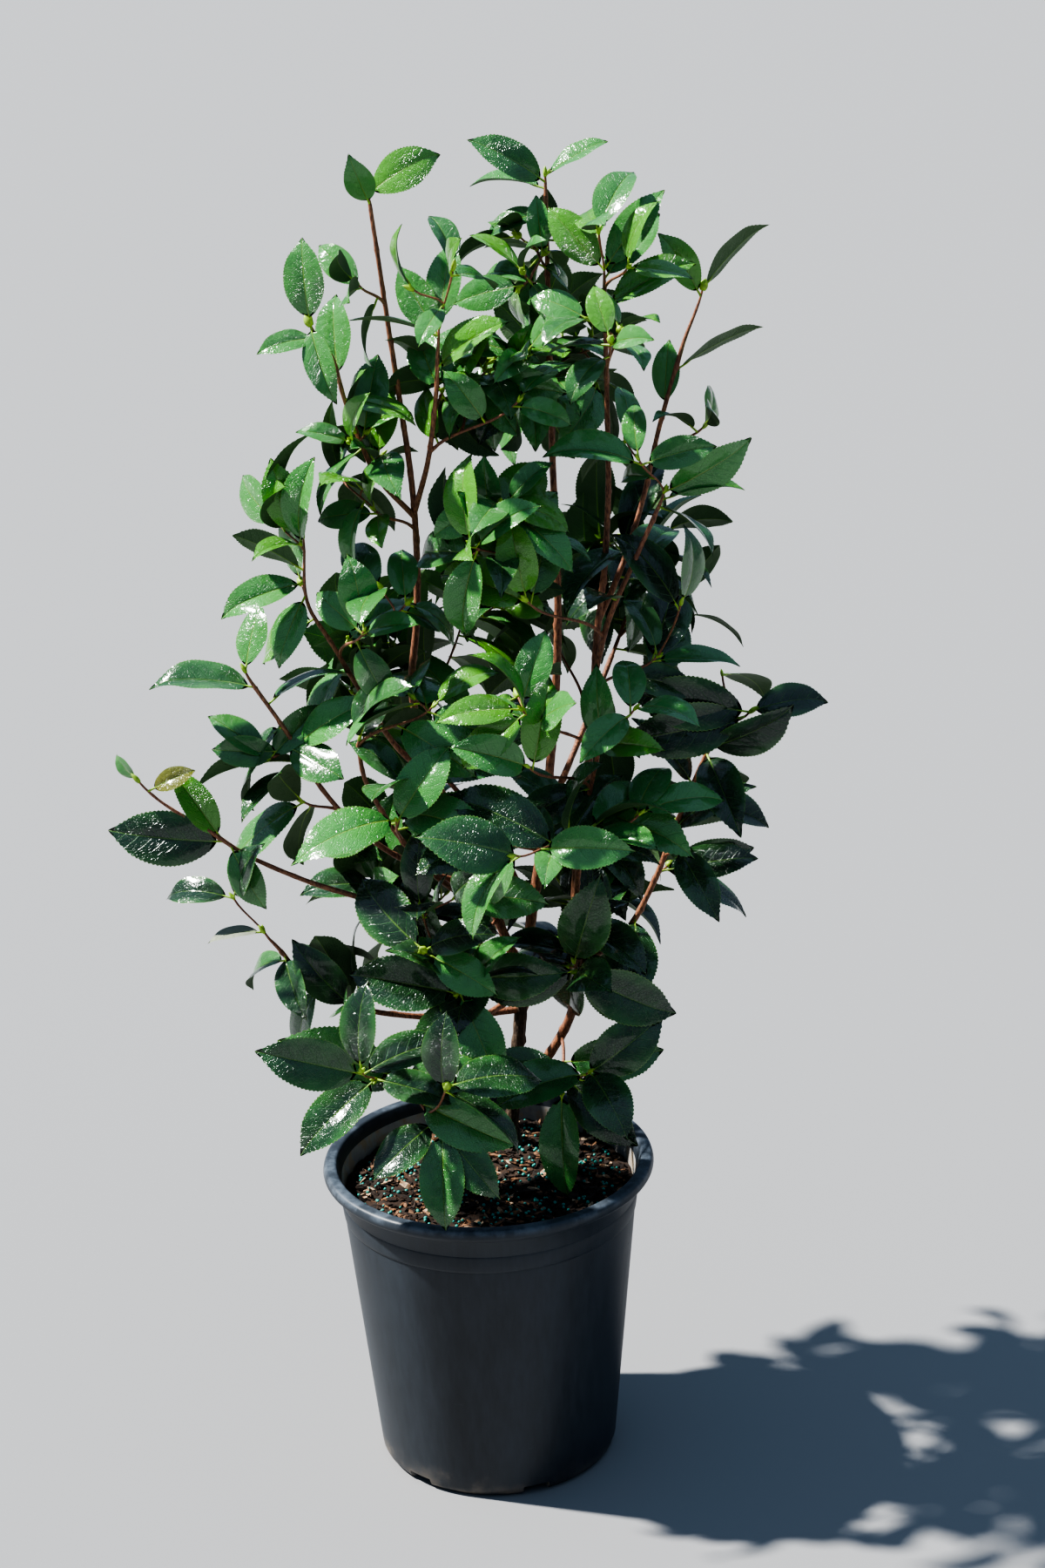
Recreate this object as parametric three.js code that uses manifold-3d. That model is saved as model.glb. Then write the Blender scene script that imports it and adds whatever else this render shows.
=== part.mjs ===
// A young camellia in its round nursery pot, in millimetres, +Z up.
// The origin is the middle of the pot's flat underside. +X is the shrub's right and -Y its front.
// The pot holds a slightly mounded potting mix. A short trunk forks just above it into three leaders and
// their boughs, and each mass of leaves is one closed uneven solid on its own limb.
import * as THREE from "three";
import { mergeVertices } from "three/addons/utils/BufferGeometryUtils.js";
import Module from "manifold-3d";

const wasm = await Module();
wasm.setup();

// ---- driving dimensions ----

const POT = {
  height: 271,
  rimRadius: 140,
  rimHeight: 11,
  rimWidth: 12,
  mouthRadius: 127, // outer radius of the wall just under the rim
  footRadius: 102, // outer radius of the wall just above its rounded foot
  footRound: 9,
  wall: 2.4,
  bandDrop: 45, // from the top down to the lower edge of the thicker band
  bandStep: 0.8,
  sides: 28,
};
const NOTCH = { count: 6, firstAngle: -73, width: 23, height: 9, reach: 18 };
const MIX = { level: 247, mound: 5, moundReach: 75, bump: 2.2, rings: 4, sides: 20 };
const TRUNK_FOOT = new THREE.Vector2(20, 62);
const TRUNK_BASE = MIX.level + MIX.mound;
const FLARE = { radius: 12, height: 22, lobes: 4, lobeDepth: 0.22 };
const LIMB_SIDES = 6;
const CUTTER_SIDES = 5; // of the wider tube that makes room for a limb in its neighbours
const LIMB_STEP = 60; // greatest distance between two rings of a limb
const FINE_MASS = 145; // masses longer than this get a finer skin
const STALK_RADIUS = 2;
const GAP = 0.4; // clear space between neighbouring solids
const BEYOND = 1200; // longer than the whole plant
const LOBE = { count: 8, spread: 0.42, core: 0.66 };

const COLOURS = {
  pot: [0x23292f, 0.55],
  mix: [0x2b201a, 0.95],
  trunk: [0x6d5a46, 0.85],
  bough: [0x7a4a30, 0.7],
  foliage: [0x2f6a26, 0.4],
  shadedFoliage: [0x1d4420, 0.4],
};

// The trunk's middle line from the mix to the fork, and the radius at each of its points.
const TRUNK = {
  line: [[20, 62, TRUNK_BASE], [24, 61, 300], [31, 60, 360], [38, 60, 424]],
  radius: [6.2, 5.2],
};

// Each limb leaves another at a height, passes its bends and ends inside a mass.
// radius is given at the foot and at the tip.
const LIMBS = {
  leader_centre: {
    from: ["trunk", 424],
    bends: [[60, 62, 560], [74, 60, 708], [74, 60, 875]],
    tip: [75, 60, 1080],
    radius: [4.6, 1.7],
    ends: "mass_top_centre",
  },
  leader_left: {
    from: ["trunk", 402],
    bends: [[24, 56, 440], [-25, 42, 580], [-46, 35, 655], [-39, 30, 750], [-38, 28, 830], [-50, 22, 960]],
    tip: [-62, 20, 1078],
    radius: [4.2, 1.6],
    ends: "mass_top_left",
  },
  leader_right: {
    from: ["trunk", 266],
    bends: [[44, 50, 320], [68, 35, 366], [80, 20, 420], [80, 8, 512], [94, 8, 610], [104, 20, 716],
      [115, 26, 804], [117, 25, 900]],
    tip: [117, 20, 1012],
    radius: [4.4, 1.7],
    ends: "mass_right_crest",
  },
  bough_right_top: {
    from: ["leader_right", 725],
    bends: [[136, 40, 795], [152, 45, 850], [168, 50, 914]],
    tip: [196, 55, 985],
    radius: [2.6, 1.5],
    ends: "mass_far_right_top",
  },
  bough_right_front: {
    from: ["leader_right", 685],
    bends: [[121, -4, 762], [141, -10, 800]],
    tip: [158, -12, 840],
    radius: [2.6, 1.6],
    ends: "mass_right_waist",
  },
  bough_right_low: {
    from: ["leader_right", 432],
    bends: [[112, 32, 444], [144, 32, 494], [164, 26, 547], [185, 22, 600]],
    tip: [205, 22, 645],
    radius: [3.0, 1.6],
    ends: "mass_right_dark",
  },
  bough_left_high: {
    from: ["leader_left", 815],
    bends: [[-61, 10, 850], [-84, -4, 912]],
    tip: [-97, -14, 970],
    radius: [2.4, 1.5],
    ends: "mass_left_crest",
  },
  bough_front_high: {
    from: ["leader_left", 822],
    bends: [[-26, 6, 866], [-16, -14, 930]],
    tip: [-12, -24, 980],
    radius: [2.4, 1.5],
    ends: "mass_front_crest",
  },
  bough_left_mid: {
    from: ["leader_left", 590],
    bends: [[-70, 28, 640], [-92, 18, 690]],
    tip: [-132, 10, 765],
    radius: [2.6, 1.5],
    ends: "mass_left_flank",
  },
  bough_left_upper: {
    from: ["leader_left", 492],
    bends: [[-60, 26, 530], [-112, 8, 585], [-140, 0, 640]],
    tip: [-178, 0, 704],
    radius: [2.8, 1.5],
    ends: "mass_left_tip",
  },
  bough_left_front: {
    from: ["leader_left", 466],
    bends: [[-30, 4, 520], [-62, -18, 568], [-86, -32, 622]],
    tip: [-92, -42, 668],
    radius: [2.8, 1.6],
    ends: "mass_front_left",
  },
  bough_left_far: {
    from: ["trunk", 412],
    bends: [[-4, 42, 446], [-57, 20, 484], [-112, 8, 512], [-166, -2, 538]],
    tip: [-225, -14, 585],
    radius: [3.0, 1.6],
    ends: "mass_far_left",
  },
  bough_left_low: {
    from: ["trunk", 378],
    bends: [[-28, 36, 384], [-84, 14, 400], [-130, -2, 426]],
    tip: [-176, -10, 486],
    radius: [3.0, 1.6],
    ends: "mass_left_low",
  },
  bough_front_low: {
    from: ["trunk", 396],
    bends: [[-4, 14, 388], [-52, -48, 374]],
    tip: [-88, -84, 384],
    radius: [2.8, 1.6],
    ends: "mass_foot_left",
  },
  bough_front_right: {
    from: ["leader_right", 490],
    bends: [[86, -16, 556], [94, -38, 612]],
    tip: [102, -52, 655],
    radius: [2.6, 1.5],
    ends: "mass_front_right",
  },
  bough_back_left: {
    from: ["leader_centre", 462],
    bends: [[16, 98, 520], [-26, 124, 570]],
    tip: [-60, 138, 615],
    radius: [3.0, 1.7],
    ends: "mass_back_left",
  },
  bough_back_right: {
    from: ["leader_centre", 545],
    bends: [[92, 96, 610], [122, 128, 670]],
    tip: [138, 146, 710],
    radius: [3.0, 1.7],
    ends: "mass_back_right",
  },
};

// Each mass of leaves: its middle, its size along X, Y and Z, and, where no limb runs into or through it,
// the limb and height that its bare stalk leaves.
const MASSES = {
  mass_top_left: { middle: [-50, 20, 1081], size: [76, 56, 44] },
  mass_left_crest: { middle: [-95, -15, 995], size: [80, 76, 100] },
  mass_front_crest: { middle: [-10, -25, 1000], size: [76, 80, 116] },
  mass_top_centre: { middle: [70, 60, 1088], size: [108, 60, 50] },
  mass_centre_crest: { middle: [62, 55, 1016], size: [86, 94, 80] },
  mass_right_crest: { middle: [136, 20, 1036], size: [106, 94, 96] },
  mass_right_shoulder: { middle: [115, -32, 970], size: [82, 76, 54], stalk: ["leader_right", 890] },
  mass_far_right_top: { middle: [208, 55, 980], size: [72, 56, 112] },
  mass_right_gap: { middle: [172, 40, 893], size: [72, 60, 66] },
  mass_upper_middle: { middle: [40, 15, 920], size: [130, 110, 106] },
  mass_left_upper: { middle: [-80, 12, 868], size: [76, 94, 160] },
  mass_centre_waist: { middle: [30, -30, 800], size: [100, 100, 146], stalk: ["leader_centre", 730] },
  mass_right_waist: { middle: [152, -5, 862], size: [148, 94, 88] },
  mass_right_middle: { middle: [162, 20, 736], size: [100, 100, 140] },
  mass_right_dark: { middle: [212, 25, 662], size: [146, 90, 82] },
  mass_left_flank: { middle: [-145, 10, 792], size: [66, 60, 162] },
  mass_left_heart: { middle: [-75, -15, 755], size: [86, 90, 86], stalk: ["leader_left", 705] },
  mass_left_tip: { middle: [-202, 0, 704], size: [78, 46, 34] },
  mass_left_shoulder: { middle: [-150, 0, 616], size: [96, 66, 156] },
  mass_front_left: { middle: [-60, -50, 676], size: [106, 84, 58] },
  mass_front_centre: { middle: [30, -85, 676], size: [90, 84, 90], stalk: ["leader_centre", 590] },
  mass_front_right: { middle: [110, -60, 666], size: [92, 84, 62] },
  mass_far_left: { middle: [-240, -15, 600], size: [98, 56, 72] },
  mass_front_waist_left: { middle: [-50, -75, 615], size: [106, 86, 62], stalk: ["bough_left_front", 545] },
  mass_front_waist: { middle: [24, -102, 582], size: [112, 78, 52], stalk: ["leader_centre", 500] },
  mass_front_waist_right: { middle: [102, -40, 580], size: [124, 96, 76] },
  mass_right_low: { middle: [194, 30, 530], size: [120, 76, 150] },
  mass_front_hem: { middle: [-28, -45, 486], size: [106, 98, 134], stalk: ["leader_left", 436] },
  mass_right_hem: { middle: [100, 0, 456], size: [86, 108, 120] },
  mass_left_low: { middle: [-182, -10, 502], size: [70, 52, 86] },
  mass_left_hem: { middle: [-124, -5, 424], size: [72, 64, 96] },
  mass_foot_left: { middle: [-100, -95, 384], size: [90, 76, 110] },
  mass_foot_front: { middle: [-20, -106, 360], size: [80, 76, 138], stalk: ["bough_front_low", 381] },
  mass_foot_right: { middle: [72, -24, 330], size: [134, 80, 128], stalk: ["leader_right", 405] },
  mass_back_crest: { middle: [85, 136, 914], size: [124, 118, 156], stalk: ["leader_centre", 830] },
  mass_back_right: { middle: [146, 158, 722], size: [132, 120, 184] },
  mass_back_left: { middle: [-76, 156, 652], size: [128, 124, 196] },
  mass_back_middle: { middle: [42, 208, 690], size: [124, 116, 196], stalk: ["leader_centre", 610] },
  mass_back_low_left: { middle: [-62, 166, 474], size: [130, 124, 140], stalk: ["leader_centre", 440] },
  mass_back_low_right: { middle: [108, 168, 478], size: [136, 124, 170], stalk: ["leader_centre", 448] },
};
const SHADED = ["mass_right_dark", "mass_right_low", "mass_right_hem", "mass_front_hem", "mass_back_low_left",
  "mass_back_low_right", "mass_back_middle"];

// ---- small helpers ----

const vec = (p) => new THREE.Vector3(...p);

function seeded(seed) {
  let state = seed * 7919 + 17;
  return () => {
    state = (state + 0x6d2b79f5) | 0;
    let t = Math.imul(state ^ (state >>> 15), 1 | state);
    t = (t + Math.imul(t ^ (t >>> 7), 61 | t)) ^ t;
    return ((t ^ (t >>> 14)) >>> 0) / 4294967296;
  };
}

function solidOf(geometry) {
  const bare = geometry.clone();
  bare.deleteAttribute("normal");
  bare.deleteAttribute("uv");
  const merged = mergeVertices(bare, 1e-3);
  return new wasm.Manifold(new wasm.Mesh({
    numProp: 3,
    vertProperties: new Float32Array(merged.attributes.position.array),
    triVerts: new Uint32Array(merged.index.array),
  }));
}

function geometryOf(solid) {
  const { vertProperties, triVerts } = solid.getMesh();
  const geometry = new THREE.BufferGeometry();
  geometry.setAttribute("position", new THREE.BufferAttribute(new Float32Array(vertProperties), 3));
  geometry.setIndex(new THREE.BufferAttribute(new Uint32Array(triVerts), 1));
  geometry.computeVertexNormals();
  return geometry;
}

function largest(solid) {
  return solid.decompose().reduce((a, b) => (b.volume() > a.volume() ? b : a));
}

function meets(a, b) {
  const box = a.boundingBox();
  const other = b.boundingBox();
  return [0, 1, 2].every((i) => box.min[i] < other.max[i] && other.min[i] < box.max[i])
    && a.intersect(b).volume() > 0;
}

// Cuts a solid round each of the others, and keeps its largest piece.
function cutRound(solid, others) {
  const near = others.filter((other) => meets(solid, other));
  return near.length ? largest(near.reduce((left, other) => left.subtract(other), solid)) : solid;
}

// A closed skin through rings of equal count, with a fan over each end.
function skin(rings) {
  const sides = rings[0].length;
  const points = rings.flat();
  const faces = [];
  for (let i = 0; i + 1 < rings.length; i += 1) {
    for (let k = 0; k < sides; k += 1) {
      const a = i * sides + k;
      const b = i * sides + ((k + 1) % sides);
      faces.push(a, b, b + sides, a, b + sides, a + sides);
    }
  }
  const top = (rings.length - 1) * sides;
  for (let k = 1; k + 1 < sides; k += 1) {
    faces.push(0, k + 1, k);
    faces.push(top, top + k, top + k + 1);
  }
  const geometry = new THREE.BufferGeometry().setFromPoints(points);
  geometry.setIndex(faces);
  return geometry;
}

// A tapering tube along a curve. A wide one goes round the plain one with the gap between them.
function tube(curve, radii, wide = false) {
  const sides = wide ? CUTTER_SIDES : LIMB_SIDES;
  const steps = Math.max(2, Math.ceil(curve.getLength() / LIMB_STEP));
  const frames = curve.computeFrenetFrames(steps, false);
  const rings = [];
  for (let i = 0; i <= steps; i += 1) {
    const middle = curve.getPointAt(i / steps);
    const plain = THREE.MathUtils.lerp(radii[0], radii[1], i / steps);
    const radius = wide ? (plain + GAP) / Math.cos(Math.PI / sides) : plain;
    rings.push(Array.from({ length: sides }, (_, k) => {
      const angle = (k / sides) * 2 * Math.PI;
      return middle.clone()
        .addScaledVector(frames.normals[i], radius * Math.cos(angle))
        .addScaledVector(frames.binormals[i], radius * Math.sin(angle));
    }));
  }
  return solidOf(skin(rings));
}

function pointAtHeight(curve, height) {
  const samples = curve.getSpacedPoints(200);
  return samples.reduce((a, b) => (Math.abs(b.z - height) < Math.abs(a.z - height) ? b : a));
}

// ---- pot ----

function wallRadius(z) {
  const share = (z - POT.footRound) / (POT.height - POT.rimHeight - POT.footRound);
  return THREE.MathUtils.lerp(POT.footRadius, POT.mouthRadius, share);
}

function potSolid() {
  const rimBottom = POT.height - POT.rimHeight;
  const bandFoot = POT.height - POT.bandDrop;
  const rimInner = POT.rimRadius - POT.rimWidth;
  const corner = POT.footRadius - POT.footRound;
  const profile = [
    [0, 0],
    [corner, 0],
    [corner + POT.footRound * 0.71, POT.footRound * 0.29],
    [POT.footRadius, POT.footRound],
    [wallRadius(bandFoot), bandFoot],
    [wallRadius(bandFoot) + POT.bandStep, bandFoot + 1],
    [wallRadius(rimBottom) + POT.bandStep, rimBottom],
    [POT.rimRadius - 2, rimBottom + 0.5],
    [POT.rimRadius, rimBottom + 4],
    [POT.rimRadius - 1, POT.height - 3],
    [POT.rimRadius - 4, POT.height],
    [rimInner + 1, POT.height],
    [wallRadius(rimBottom) - POT.wall, rimBottom],
    [POT.footRadius - POT.wall, POT.footRound + 2],
    [corner - POT.wall, POT.wall],
    [0, POT.wall],
  ].map(([r, z]) => new THREE.Vector2(r, z));
  const lathe = new THREE.LatheGeometry(profile, POT.sides).rotateX(Math.PI / 2);
  let solid = solidOf(lathe);
  for (let i = 0; i < NOTCH.count; i += 1) {
    const angle = THREE.MathUtils.degToRad(NOTCH.firstAngle + (i * 360) / NOTCH.count);
    const notch = new THREE.BoxGeometry(2 * NOTCH.reach, NOTCH.width, 2 * NOTCH.height)
      .translate(POT.footRadius, 0, 0)
      .rotateZ(angle);
    solid = solid.subtract(solidOf(notch));
  }
  return solid;
}

// ---- potting mix ----

function mixSolid() {
  const random = seeded(3);
  const floor = POT.wall + GAP;
  const corner = POT.footRadius - POT.footRound - POT.wall;
  const inset = POT.wall + GAP + 0.6; // the wall's facets come a little inside its radius
  const circle = (radius, height) => Array.from({ length: MIX.sides }, (_, k) => {
    const angle = (k / MIX.sides) * 2 * Math.PI;
    return new THREE.Vector3(radius * Math.cos(angle), radius * Math.sin(angle), height);
  });
  const rings = [
    circle(corner - GAP - 2, floor),
    circle(POT.footRadius - inset, POT.footRound + 3),
    circle(wallRadius(MIX.level) - inset, MIX.level - 1),
  ];
  for (let i = MIX.rings; i > 0; i -= 1) {
    const ring = circle((wallRadius(MIX.level) - inset) * (i / (MIX.rings + 0.6)), MIX.level);
    ring.forEach((p) => {
      const fromTrunk = Math.hypot(p.x - TRUNK_FOOT.x, p.y - TRUNK_FOOT.y);
      const rise = MIX.mound * Math.exp(-((fromTrunk / MIX.moundReach) ** 2));
      const bump = MIX.bump * (2 * random() - 1) * Math.min(1, fromTrunk / 60);
      p.z = Math.min(p.z + rise + bump, TRUNK_BASE - GAP);
    });
    rings.push(ring);
  }
  return solidOf(skin(rings));
}

// ---- trunk and limbs ----

function trunkSolid(curve, extra = 0) {
  const heights = [0, 4, 10, FLARE.height, 60, 115, 172];
  const sides = 10;
  const rings = heights.map((height) => {
    const middle = pointAtHeight(curve, TRUNK_BASE + height);
    const share = height / heights.at(-1);
    const flare = Math.max(0, 1 - height / FLARE.height) ** 2;
    return Array.from({ length: sides }, (_, k) => {
      const angle = (k / sides) * 2 * Math.PI;
      const lobe = 1 + FLARE.lobeDepth * Math.cos(FLARE.lobes * angle + 0.6);
      const plain = THREE.MathUtils.lerp(TRUNK.radius[0], TRUNK.radius[1], share);
      const radius = plain + (FLARE.radius * lobe - plain) * flare + extra;
      return new THREE.Vector3(
        middle.x + radius * Math.cos(angle),
        middle.y + radius * Math.sin(angle),
        TRUNK_BASE + height,
      );
    });
  });
  return solidOf(skin(rings));
}

const curves = { trunk: new THREE.CatmullRomCurve3(TRUNK.line.map(vec)) };
for (const [name, limb] of Object.entries(LIMBS)) {
  const foot = pointAtHeight(curves[limb.from[0]], limb.from[1]);
  curves[name] = new THREE.CatmullRomCurve3([foot, ...limb.bends.map(vec), vec(limb.tip)]);
}

const limbs = { trunk: trunkSolid(curves.trunk) };
const wideLimbs = { trunk: trunkSolid(curves.trunk, GAP) };
for (const [name, limb] of Object.entries(LIMBS)) {
  const body = tube(curves[name], limb.radius);
  limbs[name] = cutRound(body, Object.values(wideLimbs));
  wideLimbs[name] = tube(curves[name], limb.radius, true);
}

// ---- masses of leaves ----

// An uneven ball with rounded lobes, stretched so that it just fills its size.
function massSolid(seed, middle, size, extra = 0) {
  const random = seeded(seed);
  const lobes = Array.from({ length: LOBE.count }, (_, k) => {
    const up = 1 - (2 * (k + 0.5)) / LOBE.count;
    const turn = 2.4 * k + 1.2 * random();
    const level = Math.sqrt(1 - up * up);
    return new THREE.Vector3(level * Math.cos(turn), level * Math.sin(turn), up);
  });
  const heights = lobes.map(() => 0.8 + 0.35 * random());
  const detail = Math.max(...size) > FINE_MASS ? 2 : 1;
  const ball = mergeVertices(new THREE.IcosahedronGeometry(1, detail)
    .deleteAttribute("normal").deleteAttribute("uv"), 1e-4);
  const place = ball.attributes.position;
  const point = new THREE.Vector3();
  for (let i = 0; i < place.count; i += 1) {
    point.fromBufferAttribute(place, i).normalize();
    const reach = lobes.map((lobe, k) => heights[k] * Math.exp(-((point.angleTo(lobe) / LOBE.spread) ** 2)));
    point.multiplyScalar(LOBE.core + (1 - LOBE.core) * Math.max(...reach));
    place.setXYZ(i, point.x, point.y, point.z);
  }
  ball.computeBoundingBox();
  const centre = ball.boundingBox.getCenter(new THREE.Vector3());
  const span = ball.boundingBox.getSize(new THREE.Vector3());
  ball.translate(-centre.x, -centre.y, -centre.z);
  ball.scale((size[0] + extra) / span.x, (size[1] + extra) / span.y, (size[2] + extra) / span.z);
  ball.translate(...middle);
  return solidOf(ball);
}

// Parts two masses that meet by a flat gap between them, nearer to the smaller one.
function part(a, b, massA, massB) {
  const from = vec(massA.middle);
  const normal = vec(massB.middle).sub(from);
  const reach = massA.size.map((s, i) => (s + massB.size[i]) / 2);
  normal.set(normal.x / reach[0] ** 2, normal.y / reach[1] ** 2, normal.z / reach[2] ** 2).normalize();
  const along = vec(massB.middle).sub(from).dot(normal);
  const support = (mass) => Math.hypot(...mass.size.map((s, i) => (s / 2) * normal.getComponent(i)));
  const share = support(massA) / (support(massA) + support(massB));
  const side = (sign) => {
    const box = new THREE.BoxGeometry(BEYOND, BEYOND, BEYOND).translate(0, 0, (sign * BEYOND) / 2);
    box.applyQuaternion(new THREE.Quaternion().setFromUnitVectors(new THREE.Vector3(0, 0, 1), normal));
    const place = from.clone().addScaledVector(normal, along * share - (sign * GAP) / 2);
    return solidOf(box.translate(place.x, place.y, place.z));
  };
  return [largest(a.subtract(side(1))), largest(b.subtract(side(-1)))];
}

const names = Object.keys(MASSES);
const blobs = {};
const wideBlobs = {};
names.forEach((name, i) => {
  const { middle, size } = MASSES[name];
  blobs[name] = massSolid(i + 1, middle, size);
  wideBlobs[name] = massSolid(i + 1, middle, size, 2 * GAP);
});
names.forEach((a, i) => names.slice(i + 1).forEach((b) => {
  if (meets(wideBlobs[a], wideBlobs[b])) {
    [blobs[a], blobs[b]] = part(blobs[a], blobs[b], MASSES[a], MASSES[b]);
  }
}));

// Each limb stops at the skin of the mass that it ends in. The other masses are cut round it.
for (const [name, limb] of Object.entries(LIMBS)) {
  const foot = curves[name].getPointAt(0.25);
  const pieces = limbs[name].subtract(wideBlobs[limb.ends]).decompose();
  const holdsFoot = (piece) => {
    const box = piece.boundingBox();
    return foot.toArray().every((v, i) => v > box.min[i] - 1 && v < box.max[i] + 1);
  };
  limbs[name] = pieces.filter(holdsFoot).reduce((a, b) => (b.volume() > a.volume() ? b : a));
}

const masses = {};
const wideStalks = [];
for (const name of names) {
  const { middle, stalk } = MASSES[name];
  const passing = Object.keys(wideLimbs).filter((limb) => limb === "trunk" || LIMBS[limb].ends !== name);
  const round = passing.map((limb) => wideLimbs[limb]);
  const blob = cutRound(blobs[name], [...round, ...wideStalks]);
  if (!stalk) {
    masses[name] = blob;
    continue;
  }
  const foot = pointAtHeight(curves[stalk[0]], stalk[1]);
  const bend = foot.clone().lerp(vec(middle), 0.5).add(new THREE.Vector3(0, 0, -8));
  const route = new THREE.CatmullRomCurve3([foot, bend, vec(middle)]);
  const others = names.filter((other) => other !== name).map((other) => wideBlobs[other]);
  const bare = tube(route, [STALK_RADIUS, STALK_RADIUS]);
  const clear = [...round, ...others, ...wideStalks].reduce((left, other) => left.subtract(other), bare);
  masses[name] = largest(blob.add(clear));
  wideStalks.push(tube(route, [STALK_RADIUS, STALK_RADIUS], true));
}

// ---- the whole plant ----

const plant = new THREE.Group();

function addNode(name, solid, [colour, roughness]) {
  const material = new THREE.MeshStandardMaterial({ color: colour, roughness, metalness: 0 });
  const mesh = new THREE.Mesh(geometryOf(solid), material);
  mesh.name = name;
  plant.add(mesh);
}

addNode("pot", potSolid(), COLOURS.pot);
addNode("potting_mix", mixSolid(), COLOURS.mix);
for (const [name, solid] of Object.entries(limbs)) {
  addNode(name, solid, name === "trunk" ? COLOURS.trunk : COLOURS.bough);
}
for (const [name, solid] of Object.entries(masses)) {
  addNode(name, solid, SHADED.includes(name) ? COLOURS.shadedFoliage : COLOURS.foliage);
}

export default plant;
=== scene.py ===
"""A young camellia in its nursery pot: the pot, the potting mix, the bark of every limb, and the twigs,
leaves and buds that grow on from the limbs by a seeded branching rule. All lengths are in metres."""

import math
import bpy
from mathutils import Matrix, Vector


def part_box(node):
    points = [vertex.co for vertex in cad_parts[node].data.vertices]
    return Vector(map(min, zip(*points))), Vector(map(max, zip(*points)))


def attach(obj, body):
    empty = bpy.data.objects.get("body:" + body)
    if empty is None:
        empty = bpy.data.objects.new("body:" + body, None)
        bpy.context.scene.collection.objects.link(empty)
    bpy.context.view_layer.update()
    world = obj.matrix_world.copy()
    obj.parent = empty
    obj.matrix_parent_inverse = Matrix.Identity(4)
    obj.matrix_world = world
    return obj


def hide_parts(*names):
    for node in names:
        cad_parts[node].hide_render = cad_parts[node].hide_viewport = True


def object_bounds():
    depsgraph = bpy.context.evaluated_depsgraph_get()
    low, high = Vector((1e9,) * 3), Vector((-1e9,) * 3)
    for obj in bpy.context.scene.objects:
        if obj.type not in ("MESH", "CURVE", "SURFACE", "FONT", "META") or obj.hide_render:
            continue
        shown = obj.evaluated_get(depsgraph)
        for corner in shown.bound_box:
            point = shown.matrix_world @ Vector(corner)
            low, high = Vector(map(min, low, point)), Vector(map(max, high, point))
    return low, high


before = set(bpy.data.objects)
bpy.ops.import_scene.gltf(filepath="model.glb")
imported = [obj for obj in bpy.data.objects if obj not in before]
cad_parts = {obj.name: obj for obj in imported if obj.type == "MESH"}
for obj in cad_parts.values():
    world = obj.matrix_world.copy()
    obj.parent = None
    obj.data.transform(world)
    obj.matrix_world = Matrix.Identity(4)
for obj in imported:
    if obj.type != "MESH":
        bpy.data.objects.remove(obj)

from types import SimpleNamespace

import bpy
import numpy as np
from bpy.props import FloatProperty, FloatVectorProperty, IntProperty, PointerProperty
from bpy.types import Operator, Panel, PropertyGroup
from mathutils import Matrix, Vector, noise
from mathutils.bvhtree import BVHTree

bl_info = {
    "name": "Potted Camellia",
    "version": (1, 0, 0),
    "blender": (4, 5, 0),
    "location": "View3D > Sidebar > Camellia",
    "description": "Grows a camellia with its pot round a packed frame",
    "category": "Object",
}

CAD_BOX = [list(corner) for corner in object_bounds()]
POT_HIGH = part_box("pot")[1]
MIX_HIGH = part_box("potting_mix")[1]
UP = np.array([0.0, 0.0, 1.0])
LIGHT_FROM = np.array([-0.62, 0.12, 0.78])  # the side that the key light comes from
FRONT = np.array([-0.25, -0.90, 0.35])  # where leaves with a steep aim turn their upper side
AXIS = np.array([0.03, 0.055, 0.0])  # the crown's upright middle line

# ---- settings ----


def colour_setting(name, description, default):
    return FloatVectorProperty(name=name, description=description, default=default, subtype="COLOR",
                               size=3, min=0.0, max=1.0)


def length_setting(name, description, default):
    return FloatProperty(name=name, description=description, default=default, min=0.0,
                         subtype="DISTANCE", unit="LENGTH", precision=4)


def share_setting(name, description, default):
    return FloatProperty(name=name, description=description, default=default, min=0.0, max=1.0,
                         subtype="FACTOR")


class CamelliaPotSettings(PropertyGroup):
    mouth_radius: length_setting("Mouth radius", "Outer radius of the wall just under the rim", 0.127)
    foot_radius: length_setting("Foot radius", "Outer radius of the wall above its rounded foot", 0.102)
    foot_round: length_setting("Foot round", "Radius of the round between wall and underside", 0.009)
    wall: length_setting("Wall", "Thickness of the wall and floor", 0.0024)
    rim_height: length_setting("Rim height", "Height of the rolled rim", 0.011)
    rim_width: length_setting("Rim width", "Width of the rolled rim from its lip to the mouth", 0.012)
    band_drop: length_setting("Band drop", "From the top to the lower edge of the thicker band", 0.045)
    ring_drop: length_setting("Ring drop", "From the top to the single moulded ring", 0.030)
    plastic: colour_setting("Plastic", "Colour of the clean plastic", (0.012, 0.016, 0.021))
    dust: colour_setting("Dust", "Colour of the dusty bloom on the plastic", (0.060, 0.074, 0.090))
    soil: colour_setting("Soil", "Colour of dried soil at the foot and inside", (0.36, 0.29, 0.21))
    film: colour_setting("Film", "Colour of the dry film on the inner wall", (0.36, 0.35, 0.33))
    dustiness: share_setting("Dustiness", "How much of the plastic the bloom covers", 0.42)


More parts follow.
